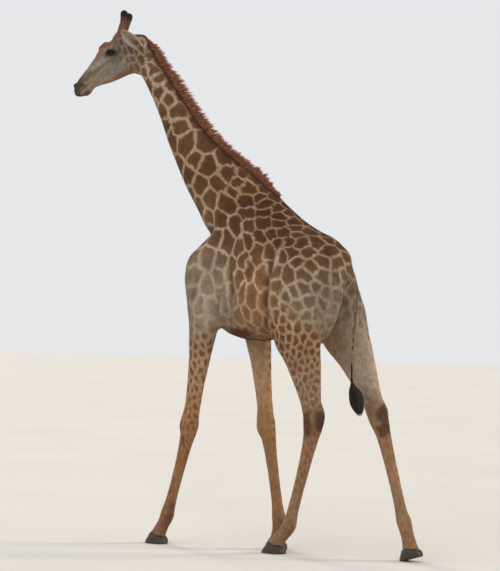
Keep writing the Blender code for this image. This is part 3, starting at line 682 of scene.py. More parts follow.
# Each place on the body: x, z, patch size, lean of the patches, their length over width, half the pale line,
# how strongly the patches show, and the ground's and the patches' colours
BODY_COAT = {
    "neck_top": (-0.92, 3.82, 0.098, 60, 1.15, 0.014, 0.95, (180, 162, 138), (113, 82, 52)),
    "neck_upper": (-0.74, 3.55, 0.132, 60, 1.2, 0.014, 1, (180, 160, 136), (108, 75, 47)),
    "neck_middle": (-0.52, 3.2, 0.172, 62, 1.25, 0.013, 1, (179, 156, 130), (104, 71, 44)),
    "neck_low": (-0.22, 2.85, 0.175, 50, 1.15, 0.012, 1, (170, 144, 117), (88, 58, 34)),
    "throat_low": (-0.32, 2.62, 0.15, 60, 1.2, 0.014, 0.8, (194, 167, 136), (126, 85, 49)),
    "withers": (0.1, 2.85, 0.11, 30, 1.2, 0.009, 1, (171, 137, 104), (93, 61, 36)),
    "shoulder": (0.02, 2.48, 0.155, 60, 1.25, 0.011, 1, (180, 156, 130), (90, 61, 36)),
    "shoulder_low": (-0.1, 2.18, 0.15, 75, 1.15, 0.016, 0.72, (180, 164, 146), (118, 90, 62)),
    "chest": (-0.22, 1.98, 0.14, 85, 1.2, 0.018, 0.52, (176, 159, 141), (126, 98, 67)),
    "elbow": (0.02, 1.85, 0.12, 80, 1.2, 0.016, 0.46, (174, 158, 141), (122, 94, 65)),
    "back": (0.38, 2.62, 0.105, -22, 1.45, 0.006, 1, (156, 122, 92), (70, 45, 25)),
    "loin": (0.66, 2.45, 0.095, -14, 1.55, 0.006, 1, (150, 117, 87), (73, 47, 27)),
    "flank_high": (0.26, 2.32, 0.12, 75, 1.5, 0.01, 1, (182, 155, 128), (104, 71, 44)),
    "flank": (0.34, 2.05, 0.14, 98, 2.1, 0.01, 1, (196, 170, 142), (142, 99, 62)),
    "flank_low": (0.34, 1.82, 0.12, 125, 1.8, 0.01, 0.9, (190, 157, 124), (134, 92, 56)),
    "belly": (0.25, 1.62, 0.09, 0, 1.2, 0.012, 0.35, (177, 130, 86), (112, 64, 33)),
    "croup": (0.86, 2.36, 0.11, -20, 1.25, 0.008, 1, (163, 130, 100), (86, 57, 34)),
    "hip": (0.66, 2.22, 0.12, 85, 1.1, 0.012, 1, (176, 154, 132), (98, 69, 42)),
    "rump": (0.84, 2.1, 0.11, 0, 1.15, 0.012, 0.95, (170, 150, 130), (97, 70, 44)),
    "thigh": (0.66, 1.98, 0.105, 60, 1.15, 0.014, 0.86, (186, 170, 153), (128, 95, 62)),
    "thigh_rear": (0.92, 1.92, 0.09, 80, 1.2, 0.013, 0.58, (156, 141, 125), (112, 88, 64)),
    "stifle": (0.58, 1.72, 0.072, 80, 1.2, 0.01, 1, (190, 158, 126), (130, 77, 41)),
}
# Each height on the legs: patch size, length over width, half the pale line, strength, ground, patches. Lower
# down the colours are darker and browner, partly for road dust and partly as painted shade
FORE_COAT = (
    (1.85, 0.085, 1.2, 0.016, 0.46, (162, 144, 122), (109, 79, 52)),
    (1.6, 0.066, 1.4, 0.013, 0.85, (166, 138, 108), (102, 67, 41)),
    (1.3, 0.06, 1.6, 0.013, 0.85, (168, 136, 102), (106, 69, 41)),
    (1.02, 0.052, 1.5, 0.012, 0.7, (152, 114, 78), (98, 62, 36)),
    (0.85, 0.046, 2.16, 0.012, 0.66, (142, 103, 68), (98, 62, 36)),
    (0.5, 0.042, 2.4, 0.013, 0.6, (138, 101, 70), (98, 65, 41)),
    (0.2, 0.04, 2.03, 0.014, 0.45, (126, 92, 64), (90, 60, 38)),
    (0.05, 0.04, 2.03, 0.014, 0.3, (122, 90, 64), (90, 62, 42)),
)
# The same for the hind legs, darker and browner lower down in the same way, partly as painted shade
HIND_COAT = (
    (1.75, 0.066, 1.2, 0.009, 1, (170, 140, 110), (108, 64, 36)),
    (1.55, 0.058, 1.2, 0.01, 0.95, (163, 134, 105), (102, 66, 39)),
    (1.3, 0.052, 1.3, 0.011, 0.75, (152, 126, 100), (100, 70, 46)),
    (1.1, 0.048, 1.4, 0.012, 0.65, (140, 114, 88), (88, 60, 39)),
    (0.9, 0.045, 2.03, 0.012, 0.62, (144, 108, 79), (94, 62, 39)),
    (0.6, 0.042, 2.16, 0.013, 0.6, (144, 110, 81), (100, 69, 46)),
    (0.25, 0.04, 2.03, 0.014, 0.45, (136, 105, 78), (96, 68, 47)),
    (0.05, 0.04, 2.03, 0.014, 0.3, (126, 96, 73), (92, 66, 48)),
)
# The same for the head by distance forward from the poll
HEAD_COAT = (
    (-0.08, 0.082, 1.2, 0.012, 0.95, (162, 142, 120), (104, 78, 54)),
    (0.02, 0.068, 1.5, 0.01, 0.95, (158, 140, 120), (98, 74, 52)),
    (0.12, 0.062, 1.7, 0.009, 0.95, (154, 138, 122), (96, 70, 50)),
    (0.19, 0.056, 1.6, 0.01, 0.8, (150, 138, 124), (100, 78, 58)),
    (0.245, 0.05, 1.2, 0.014, 0.25, (150, 138, 126), (104, 84, 66)),
    (0.29, 0.05, 1.2, 0.014, 0, (152, 140, 128), (120, 100, 80)),
    (0.7, 0.05, 1.2, 0.014, 0, (150, 134, 116), (120, 100, 80)),
)
# Colour laid over the coat of the head, in its frame: centre, reach, colour, share
HEAD_TONES = (
    ((0.43, 0, 0.165), (0.22, 0.05, 0.05), (146, 106, 76), 0.85),
    ((0.3, 0, 0.215), (0.085, 0.085, 0.062), (134, 88, 58), 0.95),
    ((0.17, 0.03, 0.19), (0.11, 0.085, 0.065), (138, 98, 70), 0.92),
    ((0.34, 0.05, 0.14), (0.12, 0.05, 0.034), (140, 106, 80), 0.75),
    ((0.31, 0.07, -0.015), (0.11, 0.07, 0.055), (140, 131, 122), 0.7),
    ((0.45, 0.05, 0.05), (0.08, 0.05, 0.024), (98, 82, 68), 0.62),
    ((0.34, 0.08, 0.046), (0.07, 0.05, 0.014), (104, 88, 75), 0.55),
    ((0.545, 0.03, 0.07), (0.08, 0.06, 0.05), (104, 84, 66), 0.65),
    ((0.2, 0.09, 0.03), (0.08, 0.05, 0.06), (104, 88, 73), 0.5),
    ((0.5, 0.02, 0.005), (0.05, 0.06, 0.04), (150, 124, 98), 0.6),
    ((0.29, 0.01, -0.118), (0.19, 0.09, 0.042), (148, 102, 64), 0.85),
    ((0.47, 0, -0.08), (0.1, 0.07, 0.034), (150, 106, 68), 0.75),
    ((0.08, 0.05, -0.165), (0.07, 0.08, 0.06), (146, 100, 62), 0.65),
    ((0.07, 0.09, 0.02), (0.03, 0.03, 0.026), (88, 74, 64), 0.55),
    ((0.63, 0.02, 0.06), (0.09, 0.1, 0.064), (76, 60, 48), 0.95),
    ((0.69, 0, 0), (0.05, 0.09, 0.06), (78, 56, 42), 0.92),
    ((0.61, 0, -0.05), (0.06, 0.09, 0.034), (96, 66, 46), 0.92),
    ((0, 0, 0.11), (0.08, 0.06, 0.05), (84, 64, 50), 0.75),
)
# Marks and pale parts of the body, and painted shade under the chest and belly: centre, reach, colour, share,
# and the side (-1 left, 1 right, 0 both)
BODY_TONES = (
    ((0.84, 0.19, 1.02), (0.13, 0.14, 0.14), (112, 84, 60), 0.4, -1),
    ((0.785, 0.205, 1.01), (0.052, 0.08, 0.098), (70, 47, 32), 0.85, -1),
    ((0.895, 0.17, 1.025), (0.048, 0.09, 0.092), (66, 44, 30), 0.85, -1),
    ((1.238, 0.15, 1.09), (0.056, 0.08, 0.082), (68, 44, 30), 0.85, 1),
    ((1.243, 0.148, 0.968), (0.054, 0.08, 0.056), (72, 48, 33), 0.85, 1),
    ((-0.42, 0.23, 0.23), (0.09, 0.12, 0.13), (84, 54, 34), 0.65, -1),
    ((1.06, 0.16, 1.48), (0.2, 0.12, 0.3), (176, 160, 143), 0.7, 1),
    ((1.29, 0.2, 1.02), (0.03, 0.08, 0.075), (72, 48, 35), 0.8, 1),
    ((-0.385, 0.235, 0.95), (0.024, 0.08, 0.034), (78, 51, 34), 0.8, -1),
    ((-0.345, 0.235, 0.835), (0.02, 0.08, 0.05), (84, 55, 36), 0.7, -1),
    ((0.18, 0.12, 0.925), (0.026, 0.08, 0.04), (96, 66, 44), 0.5, 1),
    # Painted shade under the chest behind the elbows and along the belly, in a dark reddish brown
    ((0.11, 0.13, 1.69), (0.165, 0.16, 0.052), (100, 56, 32), 0.95, 0),
    ((0.35, 0, 1.61), (0.2, 0.16, 0.05), (112, 72, 44), 0.6, 0),
    ((0.06, 0.29, 1.88), (0.045, 0.08, 0.09), (172, 160, 146), 0.55, 0),
    ((0.95, 0.2, 1.76), (0.09, 0.14, 0.13), (158, 140, 120), 0.4, 0),
)
# Painted shade along the folds of the skin, and a painted highlight along the flank fold: places, half width,
# colour, share
SHOULDER_FOLD = ((0.078, 0.267, 2.3), (0.119, 0.295, 2.22), (0.14, 0.309, 2.08), (0.15, 0.3, 1.94))
PAINTED_FOLD_SHADING = (
    (FLANK_FOLD, 0.015, (196, 176, 152), 0.8),
    (FLANK_HOLLOW, 0.024, (86, 58, 40), 0.66),
    (ELBOW_FOLD, 0.009, (88, 64, 48), 0.7),
    (ELBOW_FRONT, 0.008, (104, 80, 62), 0.6),
    (ELBOW_REAR, 0.008, (104, 80, 62), 0.5),
    (SHOULDER_FOLD, 0.02, (80, 57, 42), 0.62),
    (CHEST_FOLD, 0.014, (100, 76, 58), 0.5),
)
BODY_REACH = 0.13
CLOUD = 0.34
EYE_SHADOW = (0.048, 0.06, 0.024)
PATCH_SPACING = 0.8
NEAREST = 12
WANDER = ((1.1, 0.17), (3.2, 0.08))
WEIGHT_SPREAD = 0.11
STRENGTH = 4
SEED_WINDOW = 0.25
GROUND_COLOUR = slice(5, 8)
PATCH_COLOUR = slice(8, 11)
COLOURS = slice(5, 11)
NAPE = (0.012, 0.055)
TAIL_LINE = (0.72, 0.92)
INNER_LEG = (1.70, 1.90)
LEG_COAT_TOP = (1.60, 1.86)
FORE_LEAN = 82
HIND_LEAN = 85
HEAD_LEAN = 60
BELLY_LOW = (0.07, -0.30, 1.58)
BELLY_HIGH = (0.47, 0.30, np.inf)


def by_place(points):
    """The coat's settings at each point of the body: size, lean, ratio, line, strength, ground, patch."""
    rows = [row[2:7] + tuple(paint(*row[7])) + tuple(paint(*row[8])) for row in BODY_COAT.values()]
    spots = np.array([row[:2] for row in BODY_COAT.values()])
    away = rows_length(points[:, None, (0, 2)] - spots[None])
    weight = np.exp(-((away / BODY_REACH) ** 2) / 2) + 1e-9
    return (weight @ np.array(rows, dtype=float)) / weight.sum(axis=1, keepdims=True)


def by_step(values, table, lean):
    """The same, read from a table by one number."""
    rows = np.array([(row[0], row[1], lean, *row[2:5], *paint(*row[5]), *paint(*row[6])) for row in table])
    rows = rows[rows[:, 0].argsort()]
    return np.stack([np.interp(values, rows[:, 0], rows[:, k]) for k in range(1, rows.shape[1])], axis=1)


def toned(settings, share, colour):
    """Draws both of the coat's colours towards one."""
    settings[:, COLOURS] += (np.tile(paint(*colour), 2) - settings[:, COLOURS]) * share[:, None]


def spread_out(away, points):
    """How much of a tone shows at a distance from its centre, with a cloudy edge."""
    return 1 - smooth_step(0.55, 1.30, away + CLOUD * noise_of(points, 22.0)[:, 0])


def add_tones(points, normals, settings):
    """Lays the face's and the joints' own colours over the coat, with painted shade under the belly, painted
    shade and a painted highlight along the folds, and a painted shadow round the eyes.
    """
    head = in_head(points)
    body = 1 - head
    places = head_places(points)
    for centre, reach, colour, share in HEAD_TONES:
        toned(settings, head * share * spread_out(away_from(places, centre, reach), points), colour)
    sides = np.sign(points[:, 1])
    for centre, reach, colour, share, side in BODY_TONES:
        here = body * ((side == 0) | (sides == side))
        away = away_from(mirrored(points), centre, reach)
        toned(settings, here * share * spread_out(away, points), colour)
    # Painted shade along the folds, and a painted highlight along the flank fold
    for line, width, colour, share in PAINTED_FOLD_SHADING:
        away, way = line_distance(mirrored(points), line)
        ends = between(way, -0.02, 0.2, 0.8, 1.02)
        toned(settings, body * share * ends * (1 - smooth_step(0.4, 1.2, away / width)), colour)
    # The nape is darker beside the mane, and the tail has a dark line down its middle
    nape = 1 - smooth_step(*NAPE, distances(MANE_TREE, points))
    toned(settings, 0.62 * nape * body, (92, 62, 46))
    toned(settings, 0.85 * tail_share(points) * smooth_step(*TAIL_LINE, normals[:, 0]), (58, 42, 32))
    # The insides of the legs are almost plain
    low = 1 - smooth_step(*INNER_LEG, points[:, 2])
    settings[:, STRENGTH] *= 1 - 0.82 * low * smooth_step(0.1, 0.7, -normals[:, 1] * sides)
    # Dark lids in a soft shadow, nostrils and lips
    for side in SIDES:
        near = rows_length(points - EYES[side]) < 0.060
        lid = 1 - smooth_step(0.004, 0.012, lid_distance(points, side)[0])
        toned(settings, 0.92 * lid * near, (38, 31, 25))
    from_eye = places - EYE_SPOT
    from_eye[:, 2] -= math.tan(EYE_TILT) * from_eye[:, 0]
    rim = rows_length(from_eye / EYE_SHADOW) + CLOUD / 2 * noise_of(points, 60.0)[:, 0]
    slit, _ = line_distance(places, on_head(NOSTRIL))
    lips, _ = line_distance(places * (1, 0, 1), MOUTH)
    for share, full, end, away, colour in (
        (0.80, 0.70, 1.25, rim, (56, 47, 38)),
        (0.40, 1.00, 2.10, rim, (92, 80, 68)),
        (0.95, 0.004, 0.010, slit, (30, 24, 22)),
        (0.55, 0.001, 0.009, lips, (48, 36, 30)),
    ):
        toned(settings, share * head * (1 - smooth_step(full, end, away)), colour)


def coat_settings(points, normals):
    """Every point's settings, with the body, the legs and the head blended where they meet."""
    height = points[:, 2]
    number, _ = leg_places(points)
    fore, hind = by_step(height, FORE_COAT, FORE_LEAN), by_step(height, HIND_COAT, HIND_LEAN)
    limb = np.where((number < 2)[:, None], fore, hind)
    belly = ((points > BELLY_LOW) & (points < BELLY_HIGH)).all(axis=1) & (normals[:, 2] < 0.3)
    settings = blended(by_place(points), limb, np.where(belly, 0.0, 1 - smooth_step(*LEG_COAT_TOP, height)))
    return blended(settings, by_step(head_places(points)[:, 0], HEAD_COAT, HEAD_LEAN), in_head(points))


def metric_of(settings):
    """How distance is measured round each point, so that one patch's reach is 1: a matrix for each."""
    size, lean, ratio = settings[:, 0], np.radians(settings[:, 1]), np.sqrt(settings[:, 2])
    made = np.zeros((len(settings), 3, 3))
    made[:, 0] = np.stack((np.cos(lean), 0 * lean, -np.sin(lean)), axis=1) / (size * ratio)[:, None]
    made[:, 1] = np.stack((np.sin(lean), 0 * lean, np.cos(lean)), axis=1) * (ratio / size)[:, None]
    made[:, 2, 1] = 1 / size
    return made


def spread_seeds(points, metric):
    """Picks points over the skin, no two of them nearer than the spacing in patch sizes."""
    kept = np.empty((len(points), 3))
    chosen = []
    for index in random.permutation(len(points)):
        offset = kept[: len(chosen)] - points[index]
        near = offset[np.abs(offset).max(axis=1) < SEED_WINDOW]
        if len(near) and rows_length(near @ metric[index].T).min() < PATCH_SPACING:
            continue
        kept[len(chosen)] = points[index]
        chosen.append(index)
    return np.array(chosen)


def nearest_seeds(points, seeds):
    """The numbers of the seeds nearest to each point."""
    tree = kd_of(seeds)
    return np.array([[found[1] for found in tree.find_n(point, NEAREST)] for point in points])


def wandering(points, size):
    """The points pushed about by smooth noise, so that patch edges wander."""
    moved = points.copy()
    for i, (point, reach) in enumerate(zip(points, size)):
        place = Vector(point)
        push = sum((noise.noise_vector(place * (fine / reach)) * far for fine, far in WANDER), Vector())
        moved[i] += np.array(push) * reach
    return moved


class Patches:
    """The coat's patches: seeds spread over the skin, each with its own size, lean and weight."""

    def __init__(self, points, settings):
        """Spreads the seeds, evens them out, and gives each one a weight and a shade of its own."""
        self.size, self.line = settings[:, 0], settings[:, 3]
        metric = metric_of(settings)
        seeds = spread_seeds(points, metric)
        tree = kd_of(points)
        for _ in range(2):
            near = nearest_seeds(points, points[seeds])
            gap = points[:, None] - points[seeds][near]
            reach = rows_length(np.einsum("nkij,nkj->nki", metric[seeds][near], gap))
            owner = near[np.arange(len(points)), reach.argmin(axis=1)]
            spots = group_means(points, owner, len(seeds)) * 0.7 + points[seeds] * 0.3
            seeds = np.array([tree.find(spot)[1] for spot in spots])
        weight = 1.0 + WEIGHT_SPREAD * random.standard_normal(len(seeds)).clip(-1.5, 1.5)
        self.seeds = points[seeds]
        self.matrices = metric[seeds] * weight[:, None, None]
        self.own = random.random(len(seeds))

    def read(self, points, size, line):
        """How far each point is inside its patch's edge, in metres, and a number that is the patch's own."""
        near = nearest_seeds(points, self.seeds)
        gap = wandering(points, size)[:, None] - self.seeds[near]
        matrices = self.matrices[near]
        local = np.einsum("nkij,nkj->nki", matrices, gap)
        reach = rows_length(local)
        two = np.argsort(reach, axis=1)[:, :2]
        rows = np.arange(len(points))[:, None]
        slope = np.einsum("nkji,nkj->nki", matrices[rows, two], unit_rows(local[rows, two]))
        border = (reach[rows, two][:, 1] - reach[rows, two][:, 0]) / rows_length(slope[:, 1] - slope[:, 0])
        return border - line, self.own[near[rows[:, 0], two[:, 0]]]


# ---------------------------------------------------------------- materials

HOOF_RING = 0.0075


class Shader:
    """A Principled material, with short calls for the nodes that feed it."""

    def __init__(self, name, roughness, **constants):
        """A material with this roughness and other constants of its surface."""
        self.material = bpy.data.materials.new(name)
        self.material.use_nodes = True
        self.tree = self.material.node_tree
        self.surface = self.tree.nodes["Principled BSDF"]
        for socket, value in {"Roughness": roughness, **constants}.items():
            self.surface.inputs[socket.replace("_", " ")].default_value = value
        self.place = self.node("ShaderNodeTexCoord").outputs["Object"]

    def node(self, kind, inputs=(), **settings):
        """A node with its settings, and its first inputs fed in order."""
        made = self.tree.nodes.new(kind)
        for key, value in settings.items():
            setattr(made, key, value)
        for socket, value in zip(made.inputs, inputs):
            self.feed(socket, value)
        return made

    def feed(self, socket, value):
        """Links an output, or writes a plain value."""
        if isinstance(value, bpy.types.NodeSocket):
            self.tree.links.new(value, socket)
        elif isinstance(value, (tuple, np.ndarray)) and socket.type == "RGBA":
            socket.default_value = (*value, 1.0)
        else:
            socket.default_value = value

    def field(self, name, output="Fac"):
        """What the mesh holds under this name."""
        return self.node("ShaderNodeAttribute", attribute_name=name).outputs[output]

    def sum(self, kind, first, second=0.0):
        """Two numbers added, multiplied or otherwise put together."""
        return self.node("ShaderNodeMath", (first, second), operation=kind).outputs[0]

    def stretched(self, *scale):
        """The object's places, scaled by a number for each axis."""
        return self.node("ShaderNodeVectorMath", (self.place, scale), operation="MULTIPLY").outputs[0]

    def noise(self, scale, detail=2.0, place=None):
        """Clouds of this fineness, in numbers round one half."""
        made = self.node("ShaderNodeTexNoise", (self.place if place is None else place,))
        made.inputs["Scale"].default_value = scale
        made.inputs["Detail"].default_value = detail
        return made.outputs["Fac"]

    def step(self, value, low, high, out_low=0.0, out_high=1.0):
        """A smooth rise from one number to another."""
        inputs = (value, low, high, out_low, out_high)
        return self.node("ShaderNodeMapRange", inputs, interpolation_type="SMOOTHSTEP").outputs[0]

    def mix(self, share, first, second):
        """The first colour where the share is 0, the second where it is 1."""
        made = self.node("ShaderNodeMix", data_type="RGBA")
        for number, value in ((0, share), (6, first), (7, second)):
            self.feed(made.inputs[number], value)
        return made.outputs[2]

    def lit(self, colour, strength):
        """The colour made lighter or darker by a number round 1."""
        made = self.node("ShaderNodeVectorMath", (colour,), operation="SCALE")
        self.feed(made.inputs["Scale"], strength)
        return made.outputs[0]

    def clouded(self, colour, cloud, low, high, dark, light):
        """The colour from dark to light as the cloud goes from low to high."""
        return self.lit(colour, self.step(cloud, low, high, dark, light))

    def varied(self, colour, spread):
        """Each hair's own shade, and lighter towards its tip."""
        colour = self.clouded(colour, self.field("shade"), 0.0, 1.0, 1 - spread, 1 + spread)
        return self.clouded(colour, self.field("tip"), 0.0, 1.0, 1 - spread / 2, 1 + spread)

    def finish(self, colour, height=None, depth=0.0):
        """Puts the colour and the bump on the surface, and returns the material."""
        self.feed(self.surface.inputs["Base Color"], colour)
        if height is not None:
            made = self.node("ShaderNodeBump")
            made.inputs["Distance"].default_value = depth
            self.feed(made.inputs["Height"], height)
            self.feed(self.surface.inputs["Normal"], made.outputs["Normal"])
        return self.material


def coat_material():
    """Short hair over skin: pale ground, brown patches with soft hairy edges, and fine streaks."""
    look = Shader("coat", 0.8, Specular_IOR_Level=0.2, Sheen_Weight=0.07, Sheen_Roughness=0.5)
    uneven = look.sum("SUBTRACT", look.noise(70, 3), 0.5)
    inside = look.sum("ADD", look.field("border"), look.sum("MULTIPLY", uneven, 0.009))
    soft = look.field("soft")
    share = look.step(inside, look.sum("MULTIPLY", soft, -1.0), soft)
    share = look.sum("MULTIPLY", share, look.field("strength"))
    # Each patch is darkest near its middle, and its colour is cloudy
    patch = look.clouded(look.field("patch", "Color"), look.noise(16, 5), 0.25, 0.75, 0.78, 1.20)
    patch = look.clouded(patch, inside, 0.0, 0.05, 1.10, 0.90)
    ground = look.clouded(look.field("ground", "Color"), look.noise(9, 3), 0.25, 0.75, 0.90, 1.08)
    ground = look.clouded(ground, look.noise(32, 3), 0.32, 0.68, 0.85, 1.12)
    streak = look.noise(260, 3, look.stretched(0.35, 1.0, 0.35))
    colour = look.clouded(look.mix(share, ground, patch), streak, 0.25, 0.75, 0.88, 1.12)
    fine = look.noise(700, 3, look.stretched(0.4, 1.0, 0.4))
    height = look.sum("ADD", fine, look.sum("MULTIPLY", streak, 0.8))
    return look.finish(look.varied(colour, 0.10), height, 0.0012)


def hair_material(name, root, body, tip):
    """Long hair, with a colour at the root, along its length and at the tip."""
    look = Shader(name, 0.62, Specular_IOR_Level=0.35, Sheen_Weight=0.1)
    along = look.field("tip")
    colour = look.mix(look.step(along, 0.05, 0.5), paint(*root), paint(*body))
    own = look.step(look.field("shade"), 0.1, 0.9, 0.3, 1.0)
    colour = look.mix(look.sum("MULTIPLY", look.step(along, 0.55, 1.0), own), colour, paint(*tip))
    return look.finish(look.varied(colour, 0.22), look.noise(900), 0.0004)


def ear_material():
    """Pale hair outside, painted shade deep in the hollow towards the base, pale rims and a thin dark edge
    near the tip.
    """
    look = Shader("ear", 0.75, Specular_IOR_Level=0.25, Sheen_Weight=0.15, Subsurface_Weight=0.15)
    look.surface.inputs["Subsurface Radius"].default_value = (0.010, 0.004, 0.002)
    along = look.field("along")
    sideways = look.field("across")
    cloud = look.step(look.noise(34, 3), 0.35, 0.7)
    outside = look.mix(cloud, paint(172, 156, 140), paint(132, 112, 94))
    outside = look.mix(look.step(sideways, 0.45, 0.95), outside, paint(190, 178, 164))
    outside = look.mix(look.step(along, 0.26, 0.04), outside, paint(98, 78, 62))
    # Painted shade in the hollow of the ear, darkest at the base and fading towards the tip
    hollow_shade = look.mix(look.step(along, 0.16, 0.72), paint(72, 54, 44), paint(160, 138, 122))
    inner = look.mix(look.step(sideways, 0.15, 0.80), hollow_shade, paint(198, 182, 168))
    colour = look.mix(look.field("inside"), outside, inner)
    rim = look.sum("MULTIPLY", look.field("edge"), look.step(along, 0.35, 0.85))
    colour = look.mix(look.sum("MULTIPLY", rim, 0.75), colour, paint(58, 46, 40))
    colour = look.clouded(colour, look.noise(420), 0.3, 0.7, 0.86, 1.12)
    return look.finish(look.varied(colour, 0.10), look.noise(600, 3), 0.0008)


def horn_material():
    """Reddish-brown hair worn thin, black towards the top."""
    look = Shader("horn", 0.75, Specular_IOR_Level=0.25, Sheen_Weight=0.15)
    cloud = look.step(look.noise(30, 4), 0.3, 0.7)
    colour = look.mix(cloud, paint(150, 104, 76), paint(122, 84, 62))
    colour = look.mix(look.field("top"), colour, paint(66, 58, 53))
    streak = look.noise(160, 3, look.stretched(1.0, 1.0, 0.2))
    colour = look.clouded(colour, streak, 0.3, 0.7, 0.82, 1.14)
    return look.finish(look.varied(colour, 0.12), look.sum("ADD", streak, look.noise(500)), 0.0014)


def eye_material():
    """A very dark brown iris with a level oblong pupil, under a wet clear coat."""
    look = Shader("eye", 0.1, Coat_Weight=0.04, Coat_Roughness=0.03, Specular_IOR_Level=0.12)
    iris = look.clouded(paint(34, 22, 16), look.noise(240, 3), 0.3, 0.7, 0.7, 1.3)
    colour = look.mix(look.step(look.field("pupil"), 0.9, 1.15), paint(8, 7, 8), iris)
    return look.finish(look.mix(look.step(look.field("iris"), 0.72, 0.86), colour, paint(26, 19, 16)))


def hoof_material():
    """Dark grey-brown horn with growth rings, dusty and worn pale near the ground."""
    look = Shader("hoof", 0.55, Specular_IOR_Level=0.4)
    rise = look.field("rise")
    wander = look.sum("ADD", rise, look.sum("MULTIPLY", look.noise(20), 0.014))
    ring = look.sum("SINE", look.sum("MULTIPLY", wander, math.tau / HOOF_RING))
    colour = look.mix(look.step(ring, -1.0, 1.0), paint(52, 45, 39), paint(58, 50, 44))
    dust = look.sum("MULTIPLY", look.step(rise, 0.030, -0.005), look.step(look.noise(60, 4), 0.3, 0.7))
    colour = look.mix(look.sum("MULTIPLY", dust, 0.5), colour, paint(112, 92, 76))
    scratch = look.noise(120, 3, look.stretched(1.0, 1.0, 0.15))
    colour = look.clouded(colour, scratch, 0.3, 0.7, 0.85, 1.15)
    return look.finish(colour, look.sum("ADD", ring, look.sum("MULTIPLY", scratch, 6.0)), 0.00016)


# ---------------------------------------------------------------- charts for baking

CHART_FACES = 60
CHART_GAP = 0.02
HEAD_CHART = 0.8
SHELF_STEP = 1.03
TUFT_PATCH = 0.003


def islands(kind, pairs):
    """Numbers the groups of neighbouring faces of one kind."""
    label = np.arange(len(kind))
    start, end = pairs[kind[pairs[:, 0]] == kind[pairs[:, 1]]].T
    while True:
        least = np.minimum(label[start], label[end])
        before = label.copy()
        np.minimum.at(label, start, least)
        np.minimum.at(label, end, least)
        label = label[label]
        if (label == before).all():
            return np.unique(label, return_inverse=True)[1]


def shelved(sizes, width):
    """Places boxes on shelves of one width, tallest first. Returns their corners and the height used."""
    corners = np.zeros((len(sizes), 2))
    x = y = shelf = 0.0
    for index in np.argsort(-sizes[:, 1], kind="stable"):
        if x + sizes[index, 0] > width:
            x, y, shelf = 0.0, y + shelf, 0.0
        corners[index] = x, y
        x += sizes[index, 0]
        shelf = max(shelf, sizes[index, 1])
    return corners, y + shelf


def chart_of(obj, finer=None):
    """An unwrap of the object's shape, faces that look the same way together: a place for each corner."""
    mesh = obj.data
    corners, edges = (read(mesh.loops, name, kind=int) for name in ("vertex_index", "edge_index"))
    normals = read(mesh.polygons, "normal", 3)
    owner = np.repeat(np.arange(len(normals)), read(mesh.polygons, "loop_total", kind=int))
    order = np.argsort(edges, kind="stable")
    same = np.nonzero(edges[order][1:] == edges[order][:-1])[0]
    pairs = np.stack((owner[order[same]], owner[order[same + 1]]), axis=1)
    for _ in range(6):
        normals = unit_rows(normals + neighbour_sums(normals, *pairs.T))
    way = np.abs(normals).argmax(axis=1)
    kind = way * 2 + (normals[np.arange(len(way)), way] < 0)
    if finer is not None:
        kind = kind + 6 * (np.bincount(owner, finer[corners]) / np.bincount(owner) > 0.5)
    for _ in range(4):
        label = islands(kind, pairs)
        small = np.bincount(label)[label] < CHART_FACES
        for near, far in (pairs.T, pairs.T[::-1]):
            moved = small[near] & ~small[far]
            kind[near[moved]] = kind[far[moved]]
    group = islands(kind, pairs)[owner]
    kind = kind[owner]
    x, y, z = points_of(obj)[corners].T
    way = (kind % 6) // 2
    flat = np.stack((np.where(way == 0, y, x), np.where(way == 2, y, z)), axis=1)
    flat *= (1 + HEAD_CHART * (kind >= 6))[:, None]
    low = np.full((group.max() + 1, 2), np.inf)
    high = -low
    np.minimum.at(low, group, flat)
    np.maximum.at(high, group, flat)
    sizes = high - low + CHART_GAP
    width = math.sqrt(sizes.prod(axis=1).sum())
    places, height = shelved(sizes, width)
    while height > width:
        width *= SHELF_STEP
        places, height = shelved(sizes, width)
    return (flat - low[group] + places[group] + CHART_GAP / 2) / width


def add_chart(obj, flat):
    """Lays the map OFBake on the object."""
    obj.data.uv_layers.new(name="OFBake").data.foreach_set("uv", flat.astype(np.float32).ravel())


# ---------------------------------------------------------------- hair


class Surface:
    """An object's triangles, to root hair on, with its chart, the fields of its coat and its patches."""

    def __init__(self, obj, fields, finer=None, patches=None):
        """Charts the object, finer where asked, and reads its triangles."""
        self.points, self.normals = points_of(obj), normals_of(obj)
        self.fields, self.patches = fields, patches
        chart = chart_of(obj, finer)
        add_chart(obj, chart)
        obj.data.calc_loop_triangles()
        triangles = obj.data.loop_triangles
        self.corners = read(triangles, "vertices", 3, int)
        self.flat = chart[read(triangles, "loops", 3, int)]
        first, second, third = (self.points[self.corners[:, k]] for k in range(3))
        self.area = rows_length(np.cross(second - first, third - first)) / 2

    def roots(self, count, density):
        """Places spread at random over the triangles, thicker where the density at the vertices is higher."""
        weight = self.area * density[self.corners].mean(axis=1)
        return Roots(self, random.choice(len(weight), count, p=weight / weight.sum()))


class Roots:
    """Chosen places on a surface, which read what its vertices hold."""

    def __init__(self, surface, chosen):
        """One place at random on each chosen triangle."""
        self.corners = surface.corners[chosen]
        edge = np.sqrt(random.random(len(chosen)))
        other = random.random(len(chosen))
        self.share = np.stack((1 - edge, edge * (1 - other), edge * other), axis=1)
        self.flat = np.einsum("nk,nkj->nj", self.share, surface.flat[chosen])
        self.points = self.of(surface.points)
        self.normals = unit_rows(self.of(surface.normals))

    def of(self, values):
        """The vertices' numbers or rows, read at the roots."""
        letters = "nk,nk->n" if values.ndim == 1 else "nk,nkj->nj"
        return np.einsum(letters, self.share, values[self.corners])


